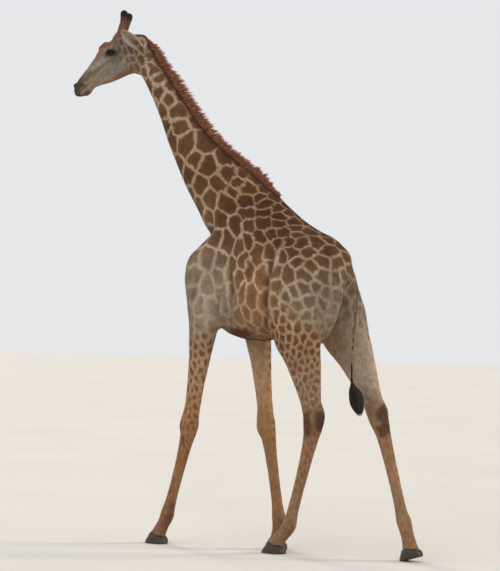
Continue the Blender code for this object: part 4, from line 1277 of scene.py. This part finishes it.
def blades(name, spines, widths, sides, flat, fields, shading=None):
    """Thin tapering blades along spines from root to tip. Each one is a small patch of the chart."""
    count, steps = spines.shape[:2]
    half = (np.broadcast_to(widths, (count, steps - 1)) / 2)[..., None] * sides[:, None]
    pairs = np.stack((spines[:, :-1] - half, spines[:, :-1] + half), axis=2).reshape(count, -1, 3)
    points = np.concatenate((pairs, spines[:, -1:]), axis=1)
    stride = points.shape[1]
    base = np.arange(count)[:, None] * stride
    quads = [base + np.array((2 * i, 2 * i + 1, 2 * i + 3, 2 * i + 2)) for i in range(steps - 2)]
    tips = base + np.array((stride - 3, stride - 2, stride - 1))
    made = object_from(name, points.reshape(-1, 3), [np.concatenate(quads), tips])
    level = np.append(np.repeat(np.arange(steps - 1), 2), steps - 1) / (steps - 1)
    sideways = np.append(np.tile((-0.5, 0.5), steps - 1), 0.0)
    patch = flat[:, None] + np.stack((sideways, level - 0.5), axis=1)[None] * TUFT_PATCH
    add_chart(made, patch.reshape(-1, 2)[read(made.data.loops, "vertex_index", kind=int)])
    fields = {key: np.repeat(values, stride, axis=0) for key, values in fields.items()}
    add_fields(made, fields | {"tip": np.tile(level, count)})
    if shading is not None:
        made.data.normals_split_custom_set_from_vertices(np.repeat(shading, stride, axis=0).tolist())
    return made


# Where the lie of the coat changes: up the neck, on the belly, down the legs and behind the rump
NECK_RISE = (2.65, 3.0)
BELLY_HEIGHTS = (1.5, 2.1)
LEG_RISE = (1.62, 1.95)
RUMP_START = (0.75, 0.95)


def lie_of_coat(points, normals, edges):
    """Which way the hair lies: back along the head, down the neck and legs, and to the rear."""
    x, _, height = points.T
    neck = smooth_step(*NECK_RISE, height)
    low, high = BELLY_HEIGHTS
    under = smooth_step(0.4, 0.8, -normals[:, 2]) * (height > low) * (height < high)
    way = np.tile((0.92, 0.0, -0.38), (len(points), 1))
    for share, goal in (
        (neck, (0.62, 0.0, -0.78)),
        (smooth_step(*RUMP_START, x) * (1 - neck), (0.35, 0.0, -0.93)),
        (1 - smooth_step(*LEG_RISE, height), (0.15, 0.0, -0.99)),
        (under, (1.0, 0.0, 0.0)),
        (in_head(points), -HEAD_AXES[0] - 0.25 * HEAD_AXES[2]),
    ):
        way = blended(way, goal, share)
    return across(relaxed(across(way, normals), edges, 12, 0.5), normals)


# Where the coat is longer and looser: centre, reach, extra length, extra lift in degrees. Either side alike
LOOSE_COAT = (
    ((-0.3, 0, 2.3), (0.1, 0.16, 0.26), 0.01, 8),
    ((-0.3, 0.1, 1.95), (0.1, 0.22, 0.16), 0.008, 8),
    ((-0.96, 0, 3.72), (0.09, 0.1, 0.16), 0.006, 8),
    ((0.06, 0.25, 1.76), (0.12, 0.12, 0.14), 0.01, 10),
    ((0.25, 0, 1.6), (0.34, 0.14, 0.07), 0.012, 12),
    ((0.96, 0.22, 1.72), (0.1, 0.12, 0.28), 0.008, 8),
    ((0.45, 0.22, 1.7), (0.08, 0.12, 0.1), 0.008, 8),
    ((0.6, 0, 2.5), (0.5, 0.05, 0.2), 0.003, 6),
    ((-0.5, 0.22, 0.17), (0.05, 0.08, 0.07), 0.008, 14),
    ((0.4, 0.09, 0.17), (0.05, 0.07, 0.07), 0.008, 14),
    ((0.56, 0.11, 0.17), (0.06, 0.08, 0.07), 0.008, 14),
    ((1.52, 0.19, 0.2), (0.06, 0.08, 0.07), 0.008, 14),
)
TUFT_LENGTH = 0.017
TUFT_SLENDERNESS = 0.17
TUFT_SHAPE = np.array((0.55, 1.0))
TUFT_LIFT = math.radians(9)
TUFT_LIMIT = 0.0052
TUFT_ROOT = 0.0012
TUFT_BEND = 0.0014
TUFT_TIP = 0.0008
STRAY = 0.16
FOOT_LENGTH = 0.007
FOOT_LIFT = math.radians(10)
FACE_LENGTH = 0.0115
MUZZLE_SHORTER = 0.006


def tuft_form(points):
    """The tufts' length and lift at each point of the skin: short on the face, the legs and the feet."""
    height = points[:, 2]
    head = in_head(points)
    foot = coronet(points)
    length = TUFT_LENGTH * (0.62 + 0.38 * smooth_step(1.1, 1.8, height))
    length = length * (0.75 + 0.25 * smooth_step(0.1, 0.4, height))
    face = FACE_LENGTH - MUZZLE_SHORTER * smooth_step(0.05, 0.50, head_places(points)[:, 0])
    length = blended(length, face, head) + FOOT_LENGTH * foot
    lift = TUFT_LIFT + FOOT_LIFT * foot
    for centre, reach, longer, higher in LOOSE_COAT:
        share = bell(away_from(mirrored(points), centre, reach)) * (1 - head)
        length += longer * share
        lift += math.radians(higher) * share
    return length, lift


def coat_tufts(name, surface, count, density, lie, form):
    """Short flat tufts of coat, overlapping towards the rear, that stand out a little at the form's edges."""
    roots = surface.roots(count, density)
    length = roots.of(form[0]) * (0.75 + 0.5 * random.random(count))
    lift = roots.of(form[1]) * (0.6 + 0.8 * random.random(count))
    stray = across(roots.of(lie) + STRAY * random.standard_normal((count, 3)), roots.normals)
    rise = np.minimum(length * np.sin(lift), TUFT_LIMIT)
    start = roots.points - roots.normals * TUFT_ROOT
    bend = start + stray * (length * 0.45)[:, None] + roots.normals * (TUFT_BEND + rise * 0.62)[:, None]
    tip = start + stray * length[:, None] + roots.normals * (TUFT_TIP + rise)[:, None]
    widths = (length * TUFT_SLENDERNESS)[:, None] * TUFT_SHAPE
    fields = {key: roots.of(values) for key, values in surface.fields.items()}
    if surface.patches:
        size, line = roots.of(surface.patches.size), roots.of(surface.patches.line)
        fields["border"], _ = surface.patches.read(roots.points, size, line)
    fields["shade"] = random.random(count)
    spines = np.stack((start, bend, tip), axis=1)
    shading = unit_rows(roots.normals + 0.25 * stray)
    return blades(name, spines, widths, np.cross(stray, roots.normals), roots.flat, fields, shading)


def lock_means(values, group):
    """For each hair, the mean over its lock."""
    return group_means(values, group)[group]


def locks_of(roots, spacing):
    """Which lock each hair belongs to, and how far out in its lock it roots."""
    cell = np.floor(roots / spacing + (0, 0.5, 0) + 0.6 * noise_of(roots, 30.0)).astype(int)
    group = np.unique(cell, axis=0, return_inverse=True)[1].ravel()
    return group, rows_length(roots - lock_means(roots, group)) / spacing


def curved(start, first, tips, steps):
    """Spines from start to tip, which leave along their first direction and bend over to the tip."""
    share = np.linspace(0, 1, steps)[None, :, None]
    length = rows_length(tips - start)[:, None, None]
    handle = start[:, None] + first[:, None] * length * 0.55
    return start[:, None] * (1 - share) ** 2 + handle * 2 * share * (1 - share) + tips[:, None] * share**2


MANE_BLADES = 15000
MANE_BAND = 0.021
MANE_REACH = 0.030
MANE_WIDTH = 0.003
MANE_TAPER = np.array((0.8, 1.0, 0.9, 0.6))
MANE_LEAN = 0.42
MANE_STRAY = 0.10
MANE_JITTER = 0.003
MANE_UNEVEN = 0.34
MANE_SPIKE = 0.74
MANE_LOCK = 0.018
MANE_PULL = 0.62
MANE_ROOT = 0.012
MANE_LEAST = 0.028
MANE_TALLEST = 0.14


def make_mane(surface):
    """A stiff upright brush along the nape, in spiky locks that lean back, as tall as its solid."""
    points = surface.points
    density = (np.abs(points[:, 1]) < MANE_BAND) & (distances(MANE_TREE, points) < MANE_REACH)
    roots = surface.roots(MANE_BLADES, (density & (surface.normals[:, 2] > 0.1)).astype(float))
    away = unit_rows(roots.normals * (1, 0.35, 1))
    back = np.stack((away[:, 2], 0 * away[:, 0], -away[:, 0]), axis=1)
    stray = MANE_STRAY * random.standard_normal((MANE_BLADES, 3)) * (1, 0.7, 1)
    way = unit_rows(away + MANE_LEAN * back + stray)
    height = np.empty(MANE_BLADES)
    for i, (point, line) in enumerate(zip(roots.points, way)):
        reach = MANE_TREE.ray_cast(Vector(point + line * MANE_ROOT), Vector(line), MANE_TALLEST)[3]
        height[i] = MANE_LEAST if reach is None else reach + MANE_ROOT
    uneven = noise_of(roots.points, 60.0)[:, 0]
    group, out = locks_of(roots.points, MANE_LOCK)
    height *= (0.98 + 0.16 * random.random(MANE_BLADES) + MANE_UNEVEN * uneven) * (1.20 - MANE_SPIKE * out)
    tips = roots.points + way * height[:, None]
    tips += (lock_means(tips, group) - tips) * MANE_PULL
    tips += MANE_JITTER * random.standard_normal((MANE_BLADES, 3))
    spines = curved(roots.points - away * 0.004, away, tips, 5)
    sides = unit_rows(np.cross(way, random.standard_normal((MANE_BLADES, 3))))
    widths = MANE_WIDTH * MANE_TAPER * (0.7 + 0.6 * random.random((MANE_BLADES, 1)))
    return blades("mane_hair", spines, widths, sides, roots.flat, {"shade": random.random(MANE_BLADES)})


STRANDS = 1700
STRAND_SPREAD = 0.5
STRAND_FILL = 0.98
STRAND_ENDS = 0.62
STRAND_WAVE = 0.003
STRAND_BENDS = 9
STRAND_WIDTHS = 0.0032 * np.array((0.8, 1, 1, 1, 0.9, 0.8, 0.5))


def make_tail_tuft(surface):
    """Long black hair that hangs from the end of the tail and fills out the tuft's solid."""
    points, _ = node_arrays("tail_tuft")
    low, high = points[:, 2].min(), points[:, 2].max()
    rows = rings(points, np.linspace(low, high, 9), 0.02)
    rows[0, 3:] = rows[1, 3:] * 0.45
    density = (tail_share(surface.points) > 0) & (surface.points[:, 2] < high + 0.15)
    roots = surface.roots(STRANDS, density.astype(float))
    turn = np.arctan2(roots.normals[:, 1], roots.normals[:, 0])
    turn += STRAND_SPREAD * random.standard_normal(STRANDS)
    bulge = np.sqrt(random.random(STRANDS)) * STRAND_FILL
    end = low + (high - low) * STRAND_ENDS * random.random(STRANDS) ** 1.6
    share = np.linspace(0, 1, 8)[None]
    root_x, root_y, top = (roots.points[:, k : k + 1] for k in range(3))
    heights = top + (end[:, None] - top) * share
    middle_x, deep, wide = (np.interp(heights, rows[:, 0], rows[:, k]) for k in (1, 3, 4))
    inside = smooth_step(high + 0.01, high - 0.05, heights)
    x = blended(root_x, middle_x + (np.cos(turn) * bulge)[:, None] * deep, inside)
    y = blended(root_y, (np.sin(turn) * bulge)[:, None] * wide, inside)
    wave = STRAND_WAVE * np.sin(share * STRAND_BENDS + 6.3 * random.random((STRANDS, 1))) * share
    spines = np.stack((x + wave, y + wave[:, ::-1] * 0.5, heights), axis=2)
    sides = unit_rows(random.standard_normal((STRANDS, 3)) * (1, 1, 0.1))
    return blades("tail_hair", spines, STRAND_WIDTHS, sides, roots.flat, {"shade": random.random(STRANDS)})


def standing_hair(name, surface, count, density, way, length, width, spacing=0.008, pull=0.4):
    """Short upright hair, in small locks, along the directions given at the vertices."""
    roots = surface.roots(count, density)
    line = unit_rows(roots.of(way) + 0.22 * random.standard_normal((count, 3)))
    height = length * (0.6 + 0.6 * random.random(count))
    tips = roots.points + line * height[:, None]
    group, _ = locks_of(roots.points, spacing)
    tips += (lock_means(tips, group) - tips) * pull
    spines = curved(roots.points - roots.normals * 0.001, unit_rows(roots.normals + line), tips, 4)
    sides = unit_rows(np.cross(line, random.standard_normal((count, 3))))
    widths = width * np.linspace(1.0, 0.55, 3)
    return blades(name, spines, widths, sides, roots.flat, {"shade": random.random(count)})


# Upper and lower lashes: number, length, edge of the lid, droop at the root and at the tip
LASHES = ((90, 0.034, UPPER_LID, -0.10, 0.05), (36, 0.014, -LOWER_LID, -0.65, -0.8))
LASH_WIDTHS = 0.0015 * np.array((1.0, 1.0, 0.8, 0.5))


def make_lashes(side, surface):
    """Long dark lashes on the upper lid, short ones on the lower."""
    axes = eye_axes(side)
    rows = []
    for count, length, lid, root_droop, tip_droop in LASHES:
        turn = np.linspace(-0.95, 0.95, count) * LID_REACH
        arch = lid_arch(turn)
        rise = lid * arch
        place = np.stack((np.sin(turn) * np.cos(rise), np.sin(rise), np.cos(turn) * np.cos(rise)), axis=1)
        first = unit_rows(place + np.array((0.0, root_droop, 0.25)))
        last = unit_rows(place * 0.8 + np.array((0.0, tip_droop, 0.1)))
        length = length * (0.55 + 0.45 * arch)[:, None] * (0.8 + 0.3 * random.random((count, 1)))
        start = place * (EYE_RADIUS + LID_LIFT * 0.6)
        rows.append(np.concatenate((start, first, start + (first + last) / 2 * length), axis=1))
    rows = np.concatenate(rows)
    start, first, tips = (rows[:, k : k + 3] @ axes for k in (0, 3, 6))
    spines = curved(start + EYES[side], first, tips + EYES[side], 5)
    sides = unit_rows(np.cross(first, axes[1]) + 0.001)
    flat = surface.flat[0, 0] + 0.01 * random.random((len(rows), 2))
    return blades(f"lashes_{side}", spines, LASH_WIDTHS, sides, flat, {"shade": random.random(len(rows))})


# ---------------------------------------------------------------- ears, horns, eyes and hooves

EAR_VOXEL = 0.0026
EAR_LEVELS = 12
EAR_CUP = 0.005
EAR_TURN = math.radians(30)
EAR_OPENING = np.array((0.62, 0.62, -0.48))
EAR_RIM = (0.0006, 0.0016)
EAR_FRINGE = 620
EAR_TUFTS = 5000
EAR_TUFT = 0.008
HORN_VOXEL = 0.0045
HORN_UNEVEN = 0.0012
HORN_BLACK = (0.66, 0.92)
HORN_TUFTS = 4000
HORN_TUFT = 0.010
BRUSH_HAIRS = 1500
BRUSH_FOOT = (0.74, 0.88)
# Length and width of the hairs in the ears and of the horns' brushes
EAR_HAIR = (0.014, 0.0014)
BRUSH_HAIR = (0.008, 0.0018)
EYE_FIT = 0.985
EYE_BULGE = 0.035
EYE_EDGE = (0.45, 0.75)
EYE_RINGS = 40
EYE_SPOKES = 56
PUPIL = np.array((0.34, 0.17))
HOOF_VOXEL = 0.0042


def refined(node, name, voxel, rounds):
    """A finer, rounder mesh of a CAD node."""
    made = remeshed(name, *node_arrays(node), voxel)
    set_points(made, relaxed(points_of(made), edges_of(made), rounds, 0.5, REBOUND))
    return made


def share_along(points, axis):
    """The share of the way along the axis, from 0 at the low end to 1."""
    height = points @ axis
    return (height - height.min()) / np.ptp(height)


def short_coat(name, surface, count, density, way, normals, length, lift):
    """A coat of even length whose tufts all lie the same way."""
    size = len(normals)
    lie = across(np.tile(way, (size, 1)), normals)
    form = (np.full(size, length), np.full(size, lift))
    return coat_tufts(name, surface, count, density.astype(float), lie, form)


def make_ear(side):
    """A cupped leaf with a thin dark edge, pale inside, with a fringe and a short coat."""
    ear = refined(f"ear_{side}", f"ear_{side}_skin", EAR_VOXEL, 8)
    points = points_of(ear)
    sign = 1 if side == "left" else -1
    bend = ((points - relaxed(points, edges_of(ear), 10, 0.5)) * normals_of(ear)).sum(axis=1)
    axis = long_axis(points)
    turned = np.array(Matrix.Rotation(EAR_TURN * sign, 3, Vector(axis)))
    base = points[points @ axis < np.quantile(points @ axis, 0.1)].mean(axis=0)
    points = (points - base) @ turned.T + base
    set_points(ear, points)
    opening = turned @ (unit_rows(EAR_OPENING * (1, sign, 1)) @ HEAD_AXES)
    share = share_along(points, axis)
    facing = normals_of(ear) @ opening
    offset = (points - points.mean(axis=0)) @ unit_rows(np.cross(axis, opening))
    level = np.minimum((share * EAR_LEVELS).astype(int), EAR_LEVELS - 1)
    ends = np.array([(offset[level == k].min(), offset[level == k].max()) for k in range(EAR_LEVELS)])
    low, high = (np.interp(share * EAR_LEVELS - 0.5, np.arange(EAR_LEVELS), ends[:, k]) for k in (0, 1))
    sideways = np.clip(np.abs(2 * (offset - low) / (high - low) - 1), 0, 1)
    cup = smooth_step(0.1, 0.6, facing) * (1 - sideways**2) * between(share, 0.02, 0.2, 0.8, 1.0)
    set_points(ear, points - opening * (EAR_CUP * cup)[:, None])
    fields = {
        "edge": smooth_step(*EAR_RIM, bend),
        "inside": smooth_step(-0.1, 0.5, facing),
        "along": share,
        "across": sideways,
    }
    add_fields(ear, fields)
    surface = Surface(ear, fields)
    inner = (facing > 0.2) * (share > 0.1) * (share < 0.85) * (0.2 + smooth_step(0.0002, 0.0010, bend))
    way = np.tile(axis + 0.5 * opening, (len(points), 1))
    fringe = standing_hair(f"ear_{side}_hair", surface, EAR_FRINGE, inner, way, *EAR_HAIR)
    name = f"ear_{side}_coat"
    coat = short_coat(name, surface, EAR_TUFTS, share > 0.04, axis, surface.normals, EAR_TUFT, TUFT_LIFT / 2)
    return ear, fringe, coat


def make_horn(side):
    """A bony horn under skin and hair, with a black brush round its flat top."""
    horn = refined(f"horn_{side}", f"horn_{side}_skin", HORN_VOXEL, 10)
    points, normals = points_of(horn), normals_of(horn)
    axis = long_axis(points)
    share = share_along(points, axis)
    uneven = noise_of(points, 38.0)[:, 0]
    set_points(horn, points + normals * (HORN_UNEVEN * uneven * (share < 0.97))[:, None])
    fields = {"top": smooth_step(*HORN_BLACK, share + 0.16 * uneven)}
    add_fields(horn, fields)
    surface = Surface(horn, fields)
    name = f"horn_{side}_coat"
    coat = short_coat(name, surface, HORN_TUFTS, share > 0.22, -axis, normals, HORN_TUFT, TUFT_LIFT)
    crown = smooth_step(*BRUSH_FOOT, share) * (1 - 0.55 * smooth_step(0.7, 0.95, normals @ axis))
    way = normals + 0.9 * axis * (1 - smooth_step(0.9, 0.98, share))[:, None]
    brush = standing_hair(f"horn_{side}_hair", surface, BRUSH_HAIRS, crown, way, *BRUSH_HAIR)
    return horn, coat, brush


def make_eye(side):
    """A dark wet eyeball with a clear bulge over its iris."""
    polar = np.linspace(0, math.pi, EYE_RINGS + 1)[1:-1]
    turn = np.arange(EYE_SPOKES) * math.tau / EYE_SPOKES
    angle, turn = np.meshgrid(polar, turn, indexing="ij")
    ball = np.stack((np.sin(angle) * np.cos(turn), np.sin(angle) * np.sin(turn), np.cos(angle)), axis=2)
    ball = np.concatenate((ball.reshape(-1, 3), ((0, 0, 1), (0, 0, -1))))
    from_front = np.arccos(np.clip(ball[:, 2], -1, 1))
    bulge = 1 + EYE_BULGE * (1 - smooth_step(*EYE_EDGE, from_front))
    points = ball * (EYE_RADIUS * EYE_FIT * bulge)[:, None] @ eye_axes(side) + EYES[side]
    number = np.arange((EYE_RINGS - 1) * EYE_SPOKES).reshape(-1, EYE_SPOKES)
    beside = np.roll(number, -1, axis=1)
    quads = np.stack((number[:-1], number[1:], beside[1:], beside[:-1]), axis=2).reshape(-1, 4)
    front = np.stack((np.full(EYE_SPOKES, len(ball) - 2), number[0], beside[0]), axis=1)
    back = np.stack((np.full(EYE_SPOKES, len(ball) - 1), beside[-1], number[-1]), axis=1)
    faces = [quads, front, back]
    if np.linalg.det(eye_axes(side)) < 0:
        faces = [group[:, ::-1] for group in faces]
    eye = object_from(f"eye_{side}_ball", points, faces)
    add_fields(eye, {"iris": from_front, "pupil": rows_length(ball[:, :2] / PUPIL)})
    return eye


def make_hoof(name):
    """One claw of a hoof, rounder than its solid, with growth rings."""
    hoof = refined(name, f"{name}_horn", HOOF_VOXEL, 5)
    points = points_of(hoof)
    points[:, 2] = np.maximum(points[:, 2], 0.0)
    set_points(hoof, points)
    low = points[points[:, 2] < np.quantile(points[:, 2], 0.15)].mean(axis=0)
    high = points[points[:, 2] > np.quantile(points[:, 2], 0.85)].mean(axis=0)
    add_fields(hoof, {"rise": (points - low) @ unit_rows(high - low)})
    return hoof


# ---------------------------------------------------------------- camera, floor and light

PHOTO_SIDE = 571
PHOTO_TURN = math.radians(35)
PHOTO_ROLL = math.radians(0.75)
CAMERA_DISTANCE = 13.2
CAMERA_HEIGHT = 1.75
AIM = Vector((0.102, 0.0, 2.06))
FOCAL_PIXELS = 1677.0
FLOOR_REACH = 60.0
SKY = (0.97, 0.98, 1.0, 1.0)
SKY_STRENGTH = 0.82
# Name, place, spread in degrees, strength and colour
LIGHTS = (
    ("key", (-3.0, -9.0, 8.0), 70.0, 0.75, (1.0, 0.95, 0.88)),
    ("sun", (8.0, 6.0, 5.0), 12.0, 1.9, (1.0, 0.82, 0.62)),
    ("rim", (-9.0, 4.0, 4.5), 20.0, 1.3, (1.0, 0.84, 0.66)),
)


def placed(name, data, place):
    """An object of the stage, at its place."""
    made = bpy.data.objects.new(name, data)
    bpy.context.scene.collection.objects.link(made)
    made.location = place
    return made


def make_camera():
    """The photo's camera, behind the animal's left side."""
    aside = Vector((math.sin(PHOTO_TURN), -math.cos(PHOTO_TURN), 0.0)) * CAMERA_DISTANCE
    place = Vector((AIM.x + aside.x, AIM.y + aside.y, CAMERA_HEIGHT))
    camera = placed("camera", bpy.data.cameras.new("camera"), place)
    camera.data.lens = FOCAL_PIXELS / PHOTO_SIDE * camera.data.sensor_width
    camera.data.clip_end = 200.0
    aim = (AIM - place).to_track_quat("-Z", "Y").to_matrix()
    camera.rotation_euler = (aim @ Matrix.Rotation(PHOTO_ROLL, 3, "Z")).to_euler()
    bpy.context.scene.camera = camera


def make_stage():
    """A pale floor that melts into a pale sky."""
    corners = FLOOR_REACH * np.array(((-1, -1, 0), (1, -1, 0), (1, 1, 0), (-1, 1, 0)))
    floor = object_from("floor", corners, np.array(((0, 1, 2, 3),)))
    look = Shader("floor", 0.9)
    colour = look.clouded(paint(196, 196, 193), look.noise(0.6), 0.2, 0.8, 0.97, 1.03)
    floor.data.materials.append(look.finish(colour))
    world = bpy.data.worlds.new("studio")
    world.use_nodes = True
    world.node_tree.nodes["Background"].inputs["Color"].default_value = SKY
    world.node_tree.nodes["Background"].inputs["Strength"].default_value = SKY_STRENGTH
    bpy.context.scene.world = world
    for name, place, spread, strength, colour in LIGHTS:
        light = placed(name, bpy.data.lights.new(name, "SUN"), place)
        light.data.angle = math.radians(spread)
        light.data.energy = strength
        light.data.color = colour
        light.rotation_euler = Vector(place).to_track_quat("Z", "Y").to_euler()
    bpy.context.scene.view_settings.view_transform = "Standard"


# ---------------------------------------------------------------- the animal

LEG_TOP = 1.62
NECK_FOOT = 2.62
TRUNK_MIDDLE = 0.36
LEG_TUFTS = 60000
BODY_TUFTS = 62000
BARE_LIDS = 0.006
BARE_NOSTRILS = 0.008
CROWN = (-0.040, 0.0, 0.105)
CROWN_REACH = (0.150, 0.048, 0.100)
CROWN_HAIRS = 5200
# Length and width of the hairs, the spacing of their locks and how far each lock draws together
CROWN_HAIR = (0.017, 0.0018, 0.018, 0.45)
CROWN_EDGE = 0.35
PATCH_DARKEST = 0.86
PATCH_RANGE = 0.28
# How strongly the skin's relief is painted: painted shade in the hollows and a painted highlight on the
# ridges, partly also dust and worn hair
RELIEF_DUST_AND_SHADE = 26
HOLLOW_DUST_AND_SHADE = -0.20
RIDGE_WEAR_AND_HIGHLIGHT = 0.14


def settle(piece, material, slot, *nodes):
    """Gives a piece its material and its body, and hides the nodes that it stands for. The slot is not used.
    """
    piece.data.materials.clear()
    piece.data.materials.append(material)
    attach(piece, "root")
    if nodes:
        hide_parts(*nodes)


def marked_skin(skin):
    """Lays the markings, painted shade and painted highlights on the skin, and returns it as a surface to
    root hair on.
    """
    points, normals = points_of(skin), normals_of(skin)
    settings = coat_settings(points, normals)
    patches = Patches(points, settings)
    border, own = patches.read(points, patches.size, patches.line)
    settings[:, PATCH_COLOUR] *= (PATCH_DARKEST + PATCH_RANGE * own)[:, None]
    add_tones(points, normals, settings)
    # Painted shade darkens the hollows and a painted highlight lightens the ridges, partly also dust in the
    # hollows and worn hair on the ridges
    raised = ((points - relaxed(points, edges_of(skin), 30, 0.5)) * normals).sum(axis=1)
    settings[:, COLOURS] *= 1 + np.clip(RELIEF_DUST_AND_SHADE * raised, HOLLOW_DUST_AND_SHADE, RIDGE_WEAR_AND_HIGHLIGHT)[:, None]
    head = in_head(points)
    fields = {
        "border": border,
        "soft": 0.35 * patches.line + 0.0015 + 0.0035 * head,
        "strength": settings[:, STRENGTH],
        "ground": settings[:, GROUND_COLOUR],
        "patch": settings[:, PATCH_COLOUR],
    }
    add_fields(skin, fields | {"shade": np.full(len(points), 0.5), "tip": np.full(len(points), 0.35)})
    return Surface(skin, fields, head, patches)


def make_coat(surface, edges):
    """The skin's tufts in five pieces, none of them on the eyes or in the nostrils."""
    points = surface.points
    lie = lie_of_coat(points, surface.normals, edges)
    form = tuft_form(points)
    head = in_head(points)
    low = (points[:, 2] < LEG_TOP).astype(float)
    high = (points[:, 2] > NECK_FOOT).astype(float)
    rear = (points[:, 0] > TRUNK_MIDDLE).astype(float)
    bare = (head > 0.5) & (line_distance(head_places(points), on_head(NOSTRIL))[0] < BARE_NOSTRILS)
    for side in SIDES:
        bare |= (lid_distance(points, side)[0] < BARE_LIDS) & (rows_length(points - EYES[side]) < 0.045)
    for name, count, density in (
        ("coat_legs", LEG_TUFTS, low),
        ("coat_fore", BODY_TUFTS, (1 - low) * (1 - high) * (1 - rear)),
        ("coat_rear", BODY_TUFTS, (1 - low) * (1 - high) * rear),
        ("coat_neck", BODY_TUFTS, high * (1 - head)),
        ("coat_head", BODY_TUFTS, head * ~bare),
    ):
        yield coat_tufts(name, surface, count, density, lie, form)


def make_crown(surface):
    """The hair between and behind the horns, which lies back over the poll."""
    points = surface.points
    density = bell(away_from(head_places(points), CROWN, CROWN_REACH))
    density = np.clip(density - CROWN_EDGE, 0, 1) * (in_head(points) > 0.3)
    way = np.array(BROW_UP * 0.7 - FORWARD * 1.3) + 0.7 * surface.normals
    return standing_hair("crown_hair", surface, CROWN_HAIRS, density, way, *CROWN_HAIR)


LEG_RINGS = [
    rings(joined([node_arrays(f"{leg}_{part}") for part in ("lower_leg", "upper_leg")])[0], LEG_HEIGHTS, 0.05)
    for leg in LEGS
]
HEAD_TREE, NECK_TREE, TAIL_TREE, MANE_TREE = (
    bvh_of(*node_arrays(name)) for name in ("head", "neck", "tail", "mane")
)
CLAW_TREE = bvh_of(*joined([node_arrays(f"{leg}_claw_{side}") for leg in LEGS for side in SIDES]))
skin, flesh_names = make_skin()
surface = marked_skin(skin)
coat = coat_material()
settle(skin, coat, "coat", *flesh_names)
for tufts in make_coat(surface, edges_of(skin)):
    settle(tufts, coat, "coat")

mane = hair_material("mane", (66, 40, 27), (134, 78, 50), (188, 138, 106))
dark_hair = hair_material("dark_hair", (22, 18, 15), (30, 25, 20), (56, 47, 38))
crown_hair = hair_material("crown_hair", (66, 48, 34), (98, 73, 54), (146, 120, 98))
pale_hair = hair_material("pale_hair", (150, 128, 112), (190, 174, 160), (214, 202, 190))
settle(make_mane(surface), mane, "mane_hair", "mane")
settle(make_tail_tuft(surface), dark_hair, "tuft_hair", "tail_tuft")
settle(make_crown(surface), crown_hair, "coat")
ear_finish, horn_finish = ear_material(), horn_material()
eye_finish, hoof_finish = eye_material(), hoof_material()
for side in SIDES:
    ear, fringe, ear_coat = make_ear(side)
    settle(ear, ear_finish, "coat", f"ear_{side}")
    settle(fringe, pale_hair, "coat")
    settle(ear_coat, ear_finish, "coat")
    horn, horn_coat, brush = make_horn(side)
    settle(horn, horn_finish, "horn", f"horn_{side}")
    settle(horn_coat, horn_finish, "horn")
    settle(brush, dark_hair, "horn")
    settle(make_eye(side), eye_finish, "eye", f"eye_{side}")
    settle(make_lashes(side, surface), dark_hair, "eye")
for leg in LEGS:
    for side in SIDES:
        claw = f"{leg}_claw_{side}"
        settle(make_hoof(claw), hoof_finish, "hoof", claw)

make_camera()
make_stage()
